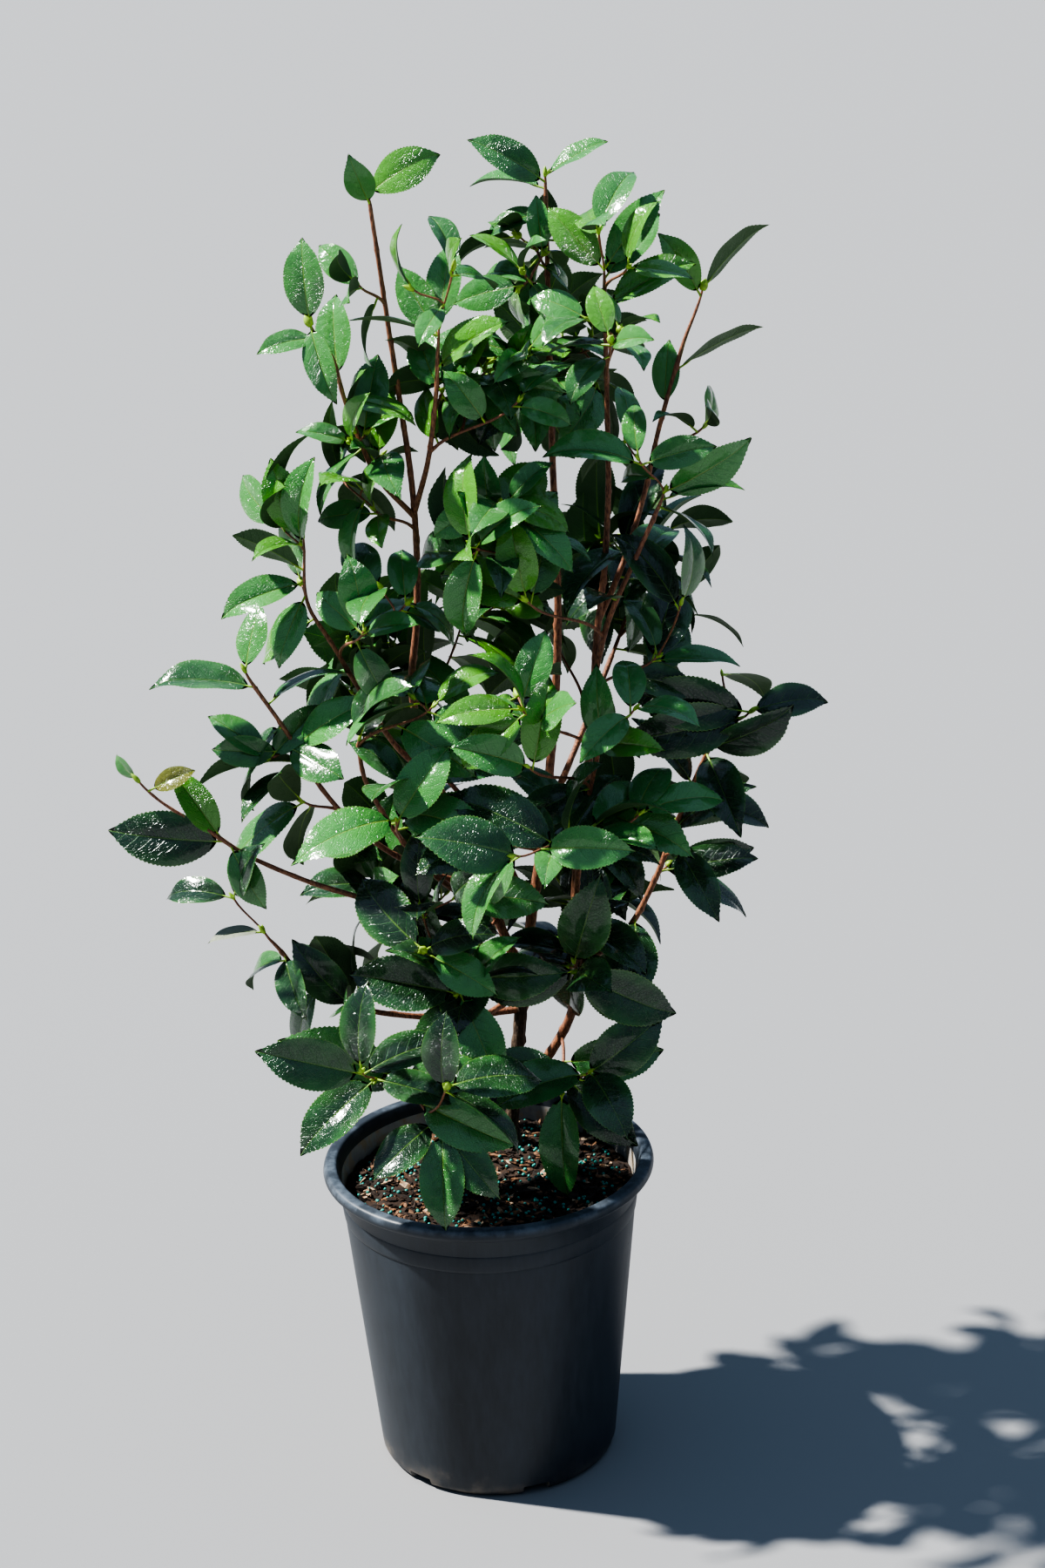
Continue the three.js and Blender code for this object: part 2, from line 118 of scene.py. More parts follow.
class CamelliaMixSettings(PropertyGroup):
    chips: IntProperty(name="Chips", description="Number of bark chips", default=1900, min=0)
    prills: IntProperty(name="Prills", description="Number of fertilizer beads", default=460, min=0)
    chip_length: length_setting("Chip length", "Length of a middling bark chip", 0.0075)
    prill_radius: length_setting("Prill radius", "Radius of a fertilizer bead", 0.0013)
    peat: colour_setting("Peat", "Colour of the fine dark mix", (0.016, 0.011, 0.008))
    bark: colour_setting("Bark", "Colour of the dark bark chips", (0.045, 0.024, 0.014))
    tan: colour_setting("Tan", "Colour of the fresh bark chips", (0.30, 0.15, 0.075))
    pale: colour_setting("Pale", "Colour of the palest chips", (0.62, 0.48, 0.33))
    bead: colour_setting("Bead", "Colour of the fertilizer beads", (0.035, 0.30, 0.25))


class CamelliaWoodSettings(PropertyGroup):
    seed: IntProperty(name="Seed", description="Seed of the branching rule", default=7, min=0)
    internode: length_setting("Internode", "Distance between two leaves on a shoot", 0.021)
    twig_radius: length_setting("Twig radius", "Radius of a shoot at its foot", 0.00145)
    tip_radius: length_setting("Tip radius", "Radius of a shoot at its tip", 0.0009)
    old_bark: colour_setting("Old bark", "Colour of the trunk", (0.17, 0.115, 0.075))
    old_furrow: colour_setting("Old furrow", "Colour in the trunk's furrows", (0.055, 0.034, 0.022))
    young_bark: colour_setting("Young bark", "Colour of the boughs and twigs", (0.50, 0.215, 0.105))
    young_furrow: colour_setting("Young furrow", "Dark colour of the boughs and twigs",
                                 (0.155, 0.064, 0.040))
    shoot_green: colour_setting("Shoot green", "Colour of petioles and bud scales", (0.22, 0.36, 0.045))
    bud_green: colour_setting("Bud green", "Colour of the buds", (0.40, 0.62, 0.07))


class CamelliaLeafSettings(PropertyGroup):
    shortest: length_setting("Shortest", "Length of the shortest blades", 0.062)
    longest: length_setting("Longest", "Length of the longest blades", 0.098)
    width: share_setting("Width", "Greatest width as a share of the length", 0.52)
    thickness: length_setting("Thickness", "Thickness of the blade at its midrib", 0.0006)
    tooth: share_setting("Tooth", "Height of the teeth as a share of the length", 0.011)
    fold: FloatProperty(name="Fold", description="How far each half rises from the midrib",
                        default=math.radians(23), subtype="ANGLE", unit="ROTATION")
    room: length_setting("Room", "Side of the cube of air that each leaf takes", 0.0408)
    # Deep and fresh green are also the two ends of the painted shade: leaves low down and at the right of the
    # crown take more of the deep green.
    deep: colour_setting("Deep green", "Dark green of old leaves", (0.012, 0.036, 0.016))
    fresh: colour_setting("Fresh green", "Lighter green of younger leaves", (0.085, 0.297, 0.066))
    young: colour_setting("Young green", "Yellow-green of the youngest leaves", (0.105, 0.33, 0.035))
    beneath: colour_setting("Underside", "Paler green of the underside", (0.070, 0.140, 0.052))
    rib: colour_setting("Rib", "Colour of the midrib and the side veins", (0.20, 0.36, 0.06))
    blemish: colour_setting("Blemish", "Colour of dry spots", (0.30, 0.22, 0.10))
    yellowed: colour_setting("Yellowed", "Colour of a yellowed leaf", (0.19, 0.20, 0.035))
    dried: colour_setting("Dried", "Colour of a dry leaf", (0.30, 0.32, 0.24))


class CamelliaStageSettings(PropertyGroup):
    floor: colour_setting("Floor", "Colour of the floor", (0.26, 0.26, 0.26))
    sky: colour_setting("Fill", "Colour of the light from all round", (0.50, 0.70, 1.0))
    sky_strength: FloatProperty(name="Fill strength", description="Strength of the light from all round",
                                default=0.56, min=0.0)
    key_strength: FloatProperty(name="Key strength", description="Strength of the far lamp at the left",
                                default=9.0, min=0.0)
    key_spread: FloatProperty(name="Key spread", description="How wide the far lamp looks, for soft shadows",
                              default=math.radians(2), subtype="ANGLE", unit="ROTATION")
    backdrop: colour_setting("Backdrop", "Colour past the floor's far edge", (0.65, 0.66, 0.67))
    eye_distance: length_setting("Camera distance", "From the pot's axis to the camera", 2.266)
    eye_height: length_setting("Camera height", "Height of the camera above the floor", 1.390)
    lens: FloatProperty(name="Lens", description="Focal length on a 36 mm sensor", default=68.0, min=1.0,
                        unit="CAMERA")
    eye_pitch: FloatProperty(name="Pitch", description="How far the camera looks down", default=0.3347,
                             subtype="ANGLE", unit="ROTATION")
    eye_turn: FloatProperty(name="Turn", description="How far the camera looks to the right",
                            default=0.0176, subtype="ANGLE", unit="ROTATION")
    eye_roll: FloatProperty(name="Roll", description="How far the camera leans", default=-0.0348,
                            subtype="ANGLE", unit="ROTATION")


# ---- small helpers ----


def unit(v):
    return v / max(np.linalg.norm(v), 1e-12)


def ease(low, high, x):
    """Smooth step from 0 at low to 1 at high."""
    t = np.clip((np.asarray(x, float) - low) / (high - low), 0, 1)
    return t * t * (3 - 2 * t)


def square_to(direction, hint):
    """The unit part of hint that is square to direction."""
    hint = hint - direction * (hint @ direction)
    return unit(hint) if np.linalg.norm(hint) > 1e-6 else unit(np.cross(direction, [0.3, 0.9, 0.2]))


def turned_about(v, axis, angle):
    along = axis * (axis @ v)
    return along + (v - along) * math.cos(angle) + np.cross(axis, v) * math.sin(angle)


def places_of(mesh):
    return np.array([v.co[:] for v in mesh.vertices])


def deselect_all():
    if bpy.context.object and bpy.context.object.mode != "OBJECT":
        bpy.ops.object.mode_set(mode="OBJECT")
    bpy.ops.object.select_all(action="DESELECT")


def only(piece):
    deselect_all()
    piece.select_set(True)
    bpy.context.view_layer.objects.active = piece


def mesh_piece(name, points, faces, materials, worn=None):
    """A new object from arrays. worn is the number of each face's material."""
    mesh = bpy.data.meshes.new(name)
    mesh.from_pydata(np.asarray(points).tolist(), [], [list(f) for f in faces])
    for material in materials:
        mesh.materials.append(material)
    if worn is not None:
        mesh.polygons.foreach_set("material_index", np.asarray(worn, np.int32))
    piece = bpy.data.objects.new(name, mesh)
    bpy.context.scene.collection.objects.link(piece)
    return piece


def smooth(piece, degrees):
    only(piece)
    bpy.ops.object.shade_smooth_by_angle(angle=math.radians(degrees))


def finish_piece(piece, nodes=()):
    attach(piece, "root")
    if nodes:
        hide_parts(*nodes)


class Heap:
    """Gathers the points, faces and materials of many small shapes for one joined mesh."""

    def __init__(self):
        self.points, self.faces, self.worn, self.count = [], [], [], 0

    def add(self, points, faces, material=0):
        self.points.append(np.asarray(points))
        self.faces += [[corner + self.count for corner in face] for face in faces]
        self.worn += [material] * len(faces) if np.isscalar(material) else list(material)
        self.count += len(points)

    def piece(self, name, materials):
        return mesh_piece(name, np.concatenate(self.points), self.faces, materials, self.worn)


def run_along(line):
    """How far each place is along a line from its start."""
    return np.concatenate([[0], np.cumsum(np.linalg.norm(np.diff(line, axis=0), axis=1))])


def frames_along(line):
    """Tangents and two square directions that turn as little as possible along a line."""
    tangents = np.gradient(line, axis=0)
    tangents /= np.linalg.norm(tangents, axis=1)[:, None]
    side = square_to(tangents[0], np.array([1.0, 0.2, 0.1]))
    sides = []
    for tangent in tangents:
        side = square_to(tangent, side)
        sides.append(side)
    sides = np.array(sides)
    return tangents, sides, np.cross(tangents, sides)


def tube(line, radii, sides, relief=None):
    """Points and faces of a closed tube. relief(turn, run) is added to the radius at each of its points."""
    _, first, second = frames_along(line)
    turn = np.arange(sides) * 2 * math.pi / sides
    run = run_along(line)
    reach = np.repeat(np.asarray(radii, float)[:, None], sides, 1)
    if relief is not None:
        reach = reach + relief(*np.meshgrid(turn, run))
    ring = np.cos(turn)[None, :, None] * first[:, None] + np.sin(turn)[None, :, None] * second[:, None]
    points = (line[:, None] + reach[..., None] * ring).reshape(-1, 3)
    rows = len(line)
    faces = []
    for i in range(rows - 1):
        for k in range(sides):
            a, b = i * sides + k, i * sides + (k + 1) % sides
            faces.append((a, b, b + sides, a + sides))
    faces.append(tuple(range(sides))[::-1])
    faces.append(tuple(range((rows - 1) * sides, rows * sides)))
    return points, faces


def flowing(points, step):
    """A smooth line through points, with places about a step apart. Columns past the third follow along."""
    points = np.asarray(points, float)
    ends = [2 * points[0] - points[1], *points, 2 * points[-1] - points[-2]]
    found = []
    for before, a, b, after in zip(ends, ends[1:], ends[2:], ends[3:]):
        count = max(1, round(np.linalg.norm((b - a)[:3]) / step))
        t = (np.arange(count) / count)[:, None]
        found.append(a + t * (b - before) / 2 + t**2 * (before - 2.5 * a + 2 * b - after / 2)
                     + t**3 * (1.5 * (a - b) + (after - before) / 2))
    return np.concatenate([*found, points[-1:]])


# ---- shader helpers ----


def feed(tree, node, inputs):
    """Gives each of a node's inputs a link, or a plain value or colour."""
    for key, value in inputs.items():
        socket = node.inputs[key]
        if isinstance(value, bpy.types.NodeSocket):
            tree.links.new(value, socket)
        else:
            socket.default_value = (*value, 1.0) if socket.type == "RGBA" and len(value) == 3 else value
    return node


def wire(tree, kind, inputs=None, **settings):
    made = tree.nodes.new("ShaderNode" + kind)
    for key, value in settings.items():
        setattr(made, key, value)
    return feed(tree, made, inputs or {})


def maths(tree, operation, first, second=0.0):
    return wire(tree, "Math", {0: first, 1: second}, operation=operation).outputs[0]


def plus(tree, first, second):
    return maths(tree, "ADD", first, second)


def times(tree, first, second):
    return maths(tree, "MULTIPLY", first, second)


def ramp(tree, value, low, high, start=0.0, end=1.0):
    """value from low to high becomes start to end, smoothly."""
    inputs = {"Value": value, "From Min": low, "From Max": high, "To Min": start, "To Max": end}
    return wire(tree, "MapRange", inputs, interpolation_type="SMOOTHSTEP").outputs["Result"]


def blended(tree, factor, first, second):
    """The first colour where factor is 0 and the second where it is 1."""
    return wire(tree, "Mix", {0: factor, 6: first, 7: second}, data_type="RGBA").outputs[2]


def speckle(tree, scale, vector, detail=3.0, roughness=0.55):
    inputs = {"Scale": scale, "Detail": detail, "Roughness": roughness, "Vector": vector}
    return wire(tree, "TexNoise", inputs).outputs["Fac"]


def own_place(tree, stretch=(1.0, 1.0, 1.0)):
    place = wire(tree, "TexCoord").outputs["Object"]
    return wire(tree, "Mapping", {"Vector": place, "Scale": stretch}).outputs["Vector"]


def scaled(colour, share):
    return tuple(share * c for c in colour)


def new_material(name, roughness=0.5, **sockets):
    """A material with its Principled shader, and the plain values that are the same all over."""
    material = bpy.data.materials.new(name)
    material.use_nodes = True
    shader = material.node_tree.nodes["Principled BSDF"]
    shader.inputs["Roughness"].default_value = roughness
    for key, value in sockets.items():
        shader.inputs[key.replace("_", " ")].default_value = value
    return material, material.node_tree, shader


def wear(tree, shader, colour, roughness, height, strength, distance):
    """Gives the shader its colour, its relief and, unless it is None, its changing roughness."""
    tree.links.new(colour, shader.inputs["Base Color"])
    if roughness is not None:
        tree.links.new(roughness, shader.inputs["Roughness"])
    bump = wire(tree, "Bump", {"Height": height, "Strength": strength, "Distance": distance})
    tree.links.new(bump.outputs["Normal"], shader.inputs["Normal"])


# ---- patterns that more than one material uses ----

TILES = 4  # rows and columns of the leaf map
TILE_WIDTH = 0.60  # the width that a tile spans, as a share of the leaf's length
TILE_FOOT, TILE_SPAN = 0.03, 0.94  # where the blade starts on its tile, and how much of the tile it spans
# The dark tiles also carry painted shade: leaves low down and at the right of the crown take them.
YOUNG, YELLOWED, DRIED = 9, 10, 11  # tiles with leaves unlike the rest, which run from dark at 0 to light
FIRST_UNDERSIDE, UNDERSIDES = 12, 3  # tiles of the undersides


def bark_grain(tree, given):
    """Streaks and pores along a limb."""
    place, scale = given["Vector"], given["Scale"]
    streak = speckle(tree, scale, place, 4.0, 0.65)
    patch = speckle(tree, times(tree, scale, 0.12), place)
    pores = wire(tree, "TexVoronoi", {"Vector": place, "Scale": scale})
    pore = ramp(tree, pores.outputs["Distance"], 0.12, 0.3)
    depth = times(tree, ramp(tree, streak, 0.35, 0.62), ramp(tree, patch, 0.2, 0.75, 0.45, 1.0))
    colour = blended(tree, depth, given["Furrow"], given["Ridge"])
    return {"Color": blended(tree, times(tree, pore, 0.9), given["Furrow"], colour),
            "Height": plus(tree, depth, times(tree, pore, 0.3))}


def dust_bloom(tree, given):
    """Where dust lies: clouds and fine grain, over a share that grows with Cover."""
    cloud = speckle(tree, 9.0, given["Vector"], 5.0, 0.6)
    fine = speckle(tree, 160.0, given["Vector"], 2.0, 0.6)
    dust = plus(tree, times(tree, cloud, 1.1), times(tree, fine, 0.35))
    dust = times(tree, dust, plus(tree, given["Cover"], 0.25))
    return {"Mask": ramp(tree, dust, 0.25, 0.95)}


def crumb_grain(tree, given):
    """Patches of a second colour, under a fine dark grain."""
    place, scale = given["Vector"], given["Scale"]
    patch = ramp(tree, speckle(tree, times(tree, scale, 0.35), place), 0.35, 0.65)
    fine = speckle(tree, scale, place, 3.0, 0.7)
    mottled = blended(tree, patch, given["Color"], given["Second"])
    grain = ramp(tree, fine, 0.5, 0.8, 0.0, 0.5)
    return {"Color": blended(tree, grain, mottled, given["Dark"]), "Height": fine}


def shoot_skin(tree, given):
    """Patches of a second green, and a fine grain."""
    patch = ramp(tree, speckle(tree, 300.0, given["Vector"]), 0.35, 0.7)
    return {"Color": blended(tree, patch, given["Color"], given["Second"]),
            "Height": speckle(tree, 1500.0, given["Vector"])}


def vein_masks(tree, along, across, away, pairs=8.0):
    """Masks of the midrib and of the side veins, which leave it by turns and curve towards the tip."""
    rib_edge = ramp(tree, along, 0.0, 1.0, 0.0105, 0.0035)
    rib = ramp(tree, maths(tree, "DIVIDE", away, rib_edge), 0.55, 1.25, 1.0, 0.0)
    lean = plus(tree, times(tree, away, 0.70), times(tree, times(tree, away, away), 1.6))
    turns = times(tree, maths(tree, "SIGN", across), 0.25)
    phase = plus(tree, times(tree, maths(tree, "SUBTRACT", along, lean), pairs), turns)
    near = maths(tree, "ABSOLUTE", maths(tree, "SUBTRACT", maths(tree, "FRACT", phase), 0.5))
    fading = ramp(tree, away, 0.05, 0.21, 1.0, 0.1)
    return rib, times(tree, ramp(tree, near, 0.0, 0.055, 1.0, 0.0), fading)


def leaf_marks(tree, given):
    """Tone, clouds, veins, relief and dry spots of a blade, from its place on the leaf map."""
    spot = wire(tree, "VectorMath", {0: given["Map"], 1: (TILES, TILES, 0.0)}, operation="MULTIPLY")
    parts = wire(tree, "SeparateXYZ", {"Vector": spot.outputs[0]}).outputs
    column, row = (maths(tree, "FLOOR", parts[k]) for k in ("X", "Y"))
    inside_x, inside_y = (maths(tree, "FRACT", parts[k]) for k in ("X", "Y"))
    across = times(tree, maths(tree, "SUBTRACT", inside_x, 0.5), TILE_WIDTH)
    along = maths(tree, "DIVIDE", maths(tree, "SUBTRACT", inside_y, TILE_FOOT), TILE_SPAN)
    tile = plus(tree, column, times(tree, row, float(TILES)))
    away = maths(tree, "ABSOLUTE", across)
    rib, veins = vein_masks(tree, along, across, away)
    place = wire(tree, "CombineXYZ", {"X": across, "Y": along, "Z": times(tree, tile, 3.7)}).outputs["Vector"]
    dots = wire(tree, "TexVoronoi", {"Vector": place, "Scale": 9.0, "Randomness": 1.0}).outputs["Distance"]
    chance = wire(tree, "TexWhiteNoise", {"W": plus(tree, tile, 31.0)}, noise_dimensions="1D")
    spotted = maths(tree, "GREATER_THAN", chance.outputs["Value"], 0.72)
    net = wire(tree, "TexVoronoi", {"Vector": place, "Scale": 42.0}, feature="DISTANCE_TO_EDGE")
    net = ramp(tree, net.outputs["Distance"], 0.0, 0.12)
    swell = speckle(tree, 13.0, place, 2.0)
    spots = times(tree, ramp(tree, dots, 0.05, 0.09, 1.0, 0.0), spotted)
    relief = plus(tree, times(tree, net, 0.35), times(tree, swell, 1.2))
    return {"Tone": ramp(tree, tile, 0.0, float(YOUNG)), "Cloud": speckle(tree, 5.0, place), "Away": away,
            "Midrib": rib, "Veins": veins, "Spots": spots, "Relief": relief}


# Each pattern's inputs, outputs and the function that fills its node group.
PATTERNS = {
    "Bark grain": ({"Ridge": "Color", "Furrow": "Color", "Scale": "Float", "Vector": "Vector"},
                   {"Color": "Color", "Height": "Float"}, bark_grain),
    "Dust bloom": ({"Cover": "Float", "Vector": "Vector"}, {"Mask": "Float"}, dust_bloom),
    "Crumb grain": ({"Color": "Color", "Second": "Color", "Dark": "Color", "Scale": "Float",
                     "Vector": "Vector"}, {"Color": "Color", "Height": "Float"}, crumb_grain),
    "Shoot skin": ({"Color": "Color", "Second": "Color", "Vector": "Vector"},
                   {"Color": "Color", "Height": "Float"}, shoot_skin),
    "Leaf marks": ({"Map": "Vector"}, dict.fromkeys(("Tone", "Cloud", "Away", "Midrib", "Veins", "Spots",
                                                     "Relief"), "Float"), leaf_marks),
}


def pattern_group(name):
    """A pattern's node group, built once."""
    found = bpy.data.node_groups.get(name)
    if found:
        return found
    inputs, outputs, fill = PATTERNS[name]
    tree = bpy.data.node_groups.new(name, "ShaderNodeTree")
    for way, sockets in (("INPUT", inputs), ("OUTPUT", outputs)):
        for socket, kind in sockets.items():
            tree.interface.new_socket(socket, in_out=way, socket_type="NodeSocket" + kind)
    given, shown = tree.nodes.new("NodeGroupInput"), tree.nodes.new("NodeGroupOutput")
    feed(tree, shown, fill(tree, given.outputs))
    return tree


def placed(tree, name, inputs):
    """The outputs of a pattern, placed in a material with its own values."""
    node = tree.nodes.new("ShaderNodeGroup")
    node.node_tree = pattern_group(name)
    return feed(tree, node, inputs).outputs


# ---- materials ----


def pot_material(s):
    """Streaky plastic with dust, scuffs, dried soil at the foot, and a rim whose top is lighter: worn grey
    plastic with a painted highlight.
    """
    material, tree, shader = new_material("pot_plastic")
    place = own_place(tree)
    streaky = own_place(tree, (1.0, 1.0, 0.22))
    dust = placed(tree, "Dust bloom", {"Cover": s.dustiness, "Vector": streaky})["Mask"]
    height = wire(tree, "SeparateXYZ", {"Vector": place}).outputs["Z"]
    scuff = ramp(tree, speckle(tree, 60.0, own_place(tree, (1.0, 1.0, 4.0)), 6.0, 0.7), 0.62, 0.74)
    plastic = blended(tree, dust, s.plastic, s.dust)
    plastic = blended(tree, times(tree, scuff, 0.35), plastic, s.dust)
    uneven = plus(tree, height, times(tree, speckle(tree, 30.0, place), 0.05))
    foot = ramp(tree, uneven, 0.018, 0.050, 1.0, 0.0)
    caked = times(tree, foot, ramp(tree, speckle(tree, 38.0, place, 4.0), 0.40, 0.62, 0.05, 0.45))
    plastic = blended(tree, caked, plastic, s.soil)
    # The rim's top is painted lighter all round: partly wear, partly a painted highlight where light falls on
    # it.
    rim = ramp(tree, height, POT_HIGH.z - 0.007, POT_HIGH.z - 0.002)
    worn = times(tree, rim, ramp(tree, speckle(tree, 45.0, place, 5.0, 0.7), 0.42, 0.66, 0.15, 0.9))
    plastic = blended(tree, worn, plastic, scaled(s.dust, 1.7))
    roughness = plus(tree, ramp(tree, dust, 0.0, 1.0, 0.40, 0.62), times(tree, scuff, 0.12))
    relief = plus(tree, speckle(tree, 900.0, place, 2.0), times(tree, dust, 0.4))
    wear(tree, shader, plastic, roughness, relief, 0.18, 0.0004)
    return material


def inner_wall_material(s):
    """Dry film and splashes of soil on the inside."""
    material, tree, shader = new_material("pot_inner_wall", 0.7)
    place = own_place(tree)
    dust = placed(tree, "Dust bloom", {"Cover": 0.9, "Vector": place})["Mask"]
    film = blended(tree, dust, s.dust, s.film)
    film = blended(tree, ramp(tree, speckle(tree, 70.0, place, 4.0), 0.50, 0.62), film, s.soil)
    wear(tree, shader, film, None, speckle(tree, 500.0, place), 0.3, 0.0006)
    return material


def crumb_material(name, colour, second, scale=700.0, roughness=0.9):
    """Bark, peat and beads: a mottled colour with a grainy surface."""
    material, tree, shader = new_material(name, roughness)
    grain = placed(tree, "Crumb grain", {"Color": colour, "Second": second, "Dark": scaled(colour, 0.4),
                                         "Scale": scale, "Vector": own_place(tree)})
    wear(tree, shader, grain["Color"], None, grain["Height"], 0.6, 0.0008)
    return material


def bark_material(name, ridge, furrow, scale, roughness, depth):
    """Bark with its grain stretched along Z."""
    material, tree, shader = new_material(name, roughness)
    grain = placed(tree, "Bark grain", {"Ridge": ridge, "Furrow": furrow, "Scale": scale,
                                        "Vector": own_place(tree, (1.0, 1.0, 0.3))})
    dull = ramp(tree, grain["Height"], 0.0, 1.2, roughness + 0.1, roughness - 0.08)
    wear(tree, shader, grain["Color"], dull, grain["Height"], depth, 0.0006)
    return material


def shoot_material(name, colour, second):
    material, tree, shader = new_material(name, 0.42)
    skin = placed(tree, "Shoot skin", {"Color": colour, "Second": second, "Vector": own_place(tree)})
    wear(tree, shader, skin["Color"], None, skin["Height"], 0.25, 0.0003)
    return material


def leaf_material(name, light, dark, s, tops=True):
    """The glossy upper side of a blade with tops, or else its dull underside."""
    plain = {"Specular_IOR_Level": 0.6, "Coat_Weight": 0.75, "Coat_Roughness": 0.10} if tops else {}
    material, tree, shader = new_material(name, 0.34 if tops else 0.52, **plain)
    marks = placed(tree, "Leaf marks", {"Map": wire(tree, "UVMap", uv_map="OFBake").outputs["UV"]})
    tone, cloud, rib, veins = (marks[key] for key in ("Tone", "Cloud", "Midrib", "Veins"))
    # The tile's tone and clouds blend the blade from dark to light green. Through the tone this also carries
    # the painted shade of the leaves low down and at the right.
    shade = plus(tree, times(tree, tone, 0.85), times(tree, cloud, 0.4))
    blade = blended(tree, ramp(tree, shade, 0.13, 0.95), dark, light)
    blade = blended(tree, ramp(tree, marks["Away"], 0.10, 0.24, 0.0, 0.35), blade, light)
    blade = blended(tree, times(tree, veins, 0.34 if tops else 0.4), blade, light)
    blade = blended(tree, times(tree, rib, ramp(tree, tone, 0.0, 0.8, 0.38, 0.88)), blade, s.rib)
    margin = wire(tree, "Attribute", attribute_name="margin").outputs["Fac"]
    blade = blended(tree, ramp(tree, margin, 0.955, 0.99, 0.0, 0.5), blade, s.rib)
    blade = blended(tree, times(tree, marks["Spots"], 0.55), blade, s.blemish)
    sink = plus(tree, times(tree, veins, 0.55), times(tree, rib, 0.7))
    height = maths(tree, "SUBTRACT" if tops else "ADD", marks["Relief"], sink)
    gloss = ramp(tree, cloud, 0.3, 0.75, *((0.16, 0.26) if tops else (0.50, 0.62)))
    if tops:
        gloss = plus(tree, gloss, times(tree, veins, 0.06))
    wear(tree, shader, blade, gloss, height, 0.75, 0.0011)
    return material


def floor_material(s):
    material, _, shader = new_material("floor", 0.9)
    shader.inputs["Base Color"].default_value = (*s.floor, 1.0)
    return material


# ---- pot ----

POT_SIDES = 112


def arc(middle, radius, start, end, steps):
    """Places (radius, height) on a round of a profile, from start to end in degrees."""
    turns = np.radians(np.linspace(start, end, steps + 1))
    return [(middle[0] + radius * math.cos(t), middle[1] + radius * math.sin(t)) for t in turns]


def turned_piece(name, profile, sides):
    """Raises a closed turned shape from a filled circle, by one extrusion and one scaling for each ring."""
    deselect_all()
    radius, height = profile[0]
    bpy.ops.mesh.primitive_circle_add(vertices=sides, radius=radius, fill_type="NGON",
                                      location=(0, 0, height))
    piece = bpy.context.object
    piece.name = piece.data.name = name
    bpy.ops.object.transform_apply(location=True, rotation=True, scale=True)
    bpy.ops.object.mode_set(mode="EDIT")
    bpy.ops.mesh.select_all(action="SELECT")
    for next_radius, next_height in profile[1:]:
        bpy.ops.mesh.extrude_region_move(TRANSFORM_OT_translate={"value": (0, 0, next_height - height)})
        grow = next_radius / radius
        bpy.ops.transform.resize(value=(grow, grow, 1), center_override=(0, 0, next_height))
        radius, height = next_radius, next_height
    bpy.ops.mesh.select_all(action="SELECT")
    bpy.ops.mesh.normals_make_consistent(inside=False)
    bpy.ops.object.mode_set(mode="OBJECT")
    return piece


def wall_at(s, height):
    """Outer radius of the tapering wall."""
    top = POT_HIGH.z - s.rim_height
    return s.foot_radius + (s.mouth_radius - s.foot_radius) * (height - s.foot_round) / (top - s.foot_round)


def pot_profile(s):
    """Underside, rounded foot, wall with its moulded rings, rolled rim, inner wall and floor."""
    height, rim = POT_HIGH.z, POT_HIGH.x
    under_rim = height - s.rim_height
    band, ring = height - s.band_drop, height - s.ring_drop
    corner = s.foot_radius - s.foot_round
    groove, step = 0.0006, 0.0009
    lip = s.rim_height / 2 - 0.0004
    bead = 0.0035
    mouth = rim - s.rim_width
    profile = [(0.03, 0.004), (0.034, 0.0005), (0.04, 0.0)]
    profile += arc((corner, s.foot_round), s.foot_round, -90, 0, 6)
    profile += [(wall_at(s, z), z) for z in np.linspace(0.03, band - 0.004, 9)]
    profile += [(wall_at(s, band) - groove, band - 0.0012), (wall_at(s, band) + step * 0.6, band)]
    profile += [(wall_at(s, band) + step, band + 0.0015), (wall_at(s, ring) + step, ring - 0.002)]
    profile += [(wall_at(s, ring) + step - groove, ring - 0.0004), (wall_at(s, ring) + step, ring + 0.0012)]
    profile += [(wall_at(s, under_rim) + step, under_rim - 0.0015)]
    profile += [(wall_at(s, under_rim) + step + 0.0012, under_rim), (rim - 0.003, under_rim + 0.0002)]
    profile += arc((rim - lip, under_rim + lip + 0.0002), lip, -60, 0, 3)
    profile += arc((rim - bead - 0.0006, height - bead), bead, 10, 90, 4)
    profile += arc((mouth + 0.003, height - 0.003), 0.003, 90, 170, 4)
    profile += [(wall_at(s, z) - s.wall, z) for z in np.linspace(under_rim, s.foot_round + 0.002, 12)]
    profile += arc((corner - s.wall, s.foot_round + s.wall), s.foot_round, -10, -90, 4)
    return profile + [(0.02, s.wall)]


def cut_notches(piece, s, count=6, first=-73.0, width=0.023, height=0.009, reach=0.018):
    """Cuts the drain notches through the rounded foot with boxes that have bevelled corners."""
    deselect_all()
    boxes = []
    for i in range(count):
        turn = math.radians(first + 360.0 * i / count)
        spot = (s.foot_radius * math.cos(turn), s.foot_radius * math.sin(turn), 0)
        bpy.ops.mesh.primitive_cube_add(size=2, location=spot, rotation=(0, 0, turn),
                                        scale=(reach, width / 2, height))
        boxes.append(bpy.context.object)
    for box in boxes:
        box.select_set(True)
    bpy.context.view_layer.objects.active = boxes[0]
    bpy.ops.object.join()
    cutter = bpy.context.object
    bpy.ops.object.transform_apply(location=True, rotation=True, scale=True)
    soften = cutter.modifiers.new("Corners", "BEVEL")
    soften.width, soften.segments = 0.0012, 2
    only(piece)
    cut = piece.modifiers.new("Notches", "BOOLEAN")
    cut.operation, cut.solver, cut.object = "DIFFERENCE", "EXACT", cutter
    bpy.ops.object.modifier_apply(modifier=cut.name)
    bpy.data.objects.remove(cutter)


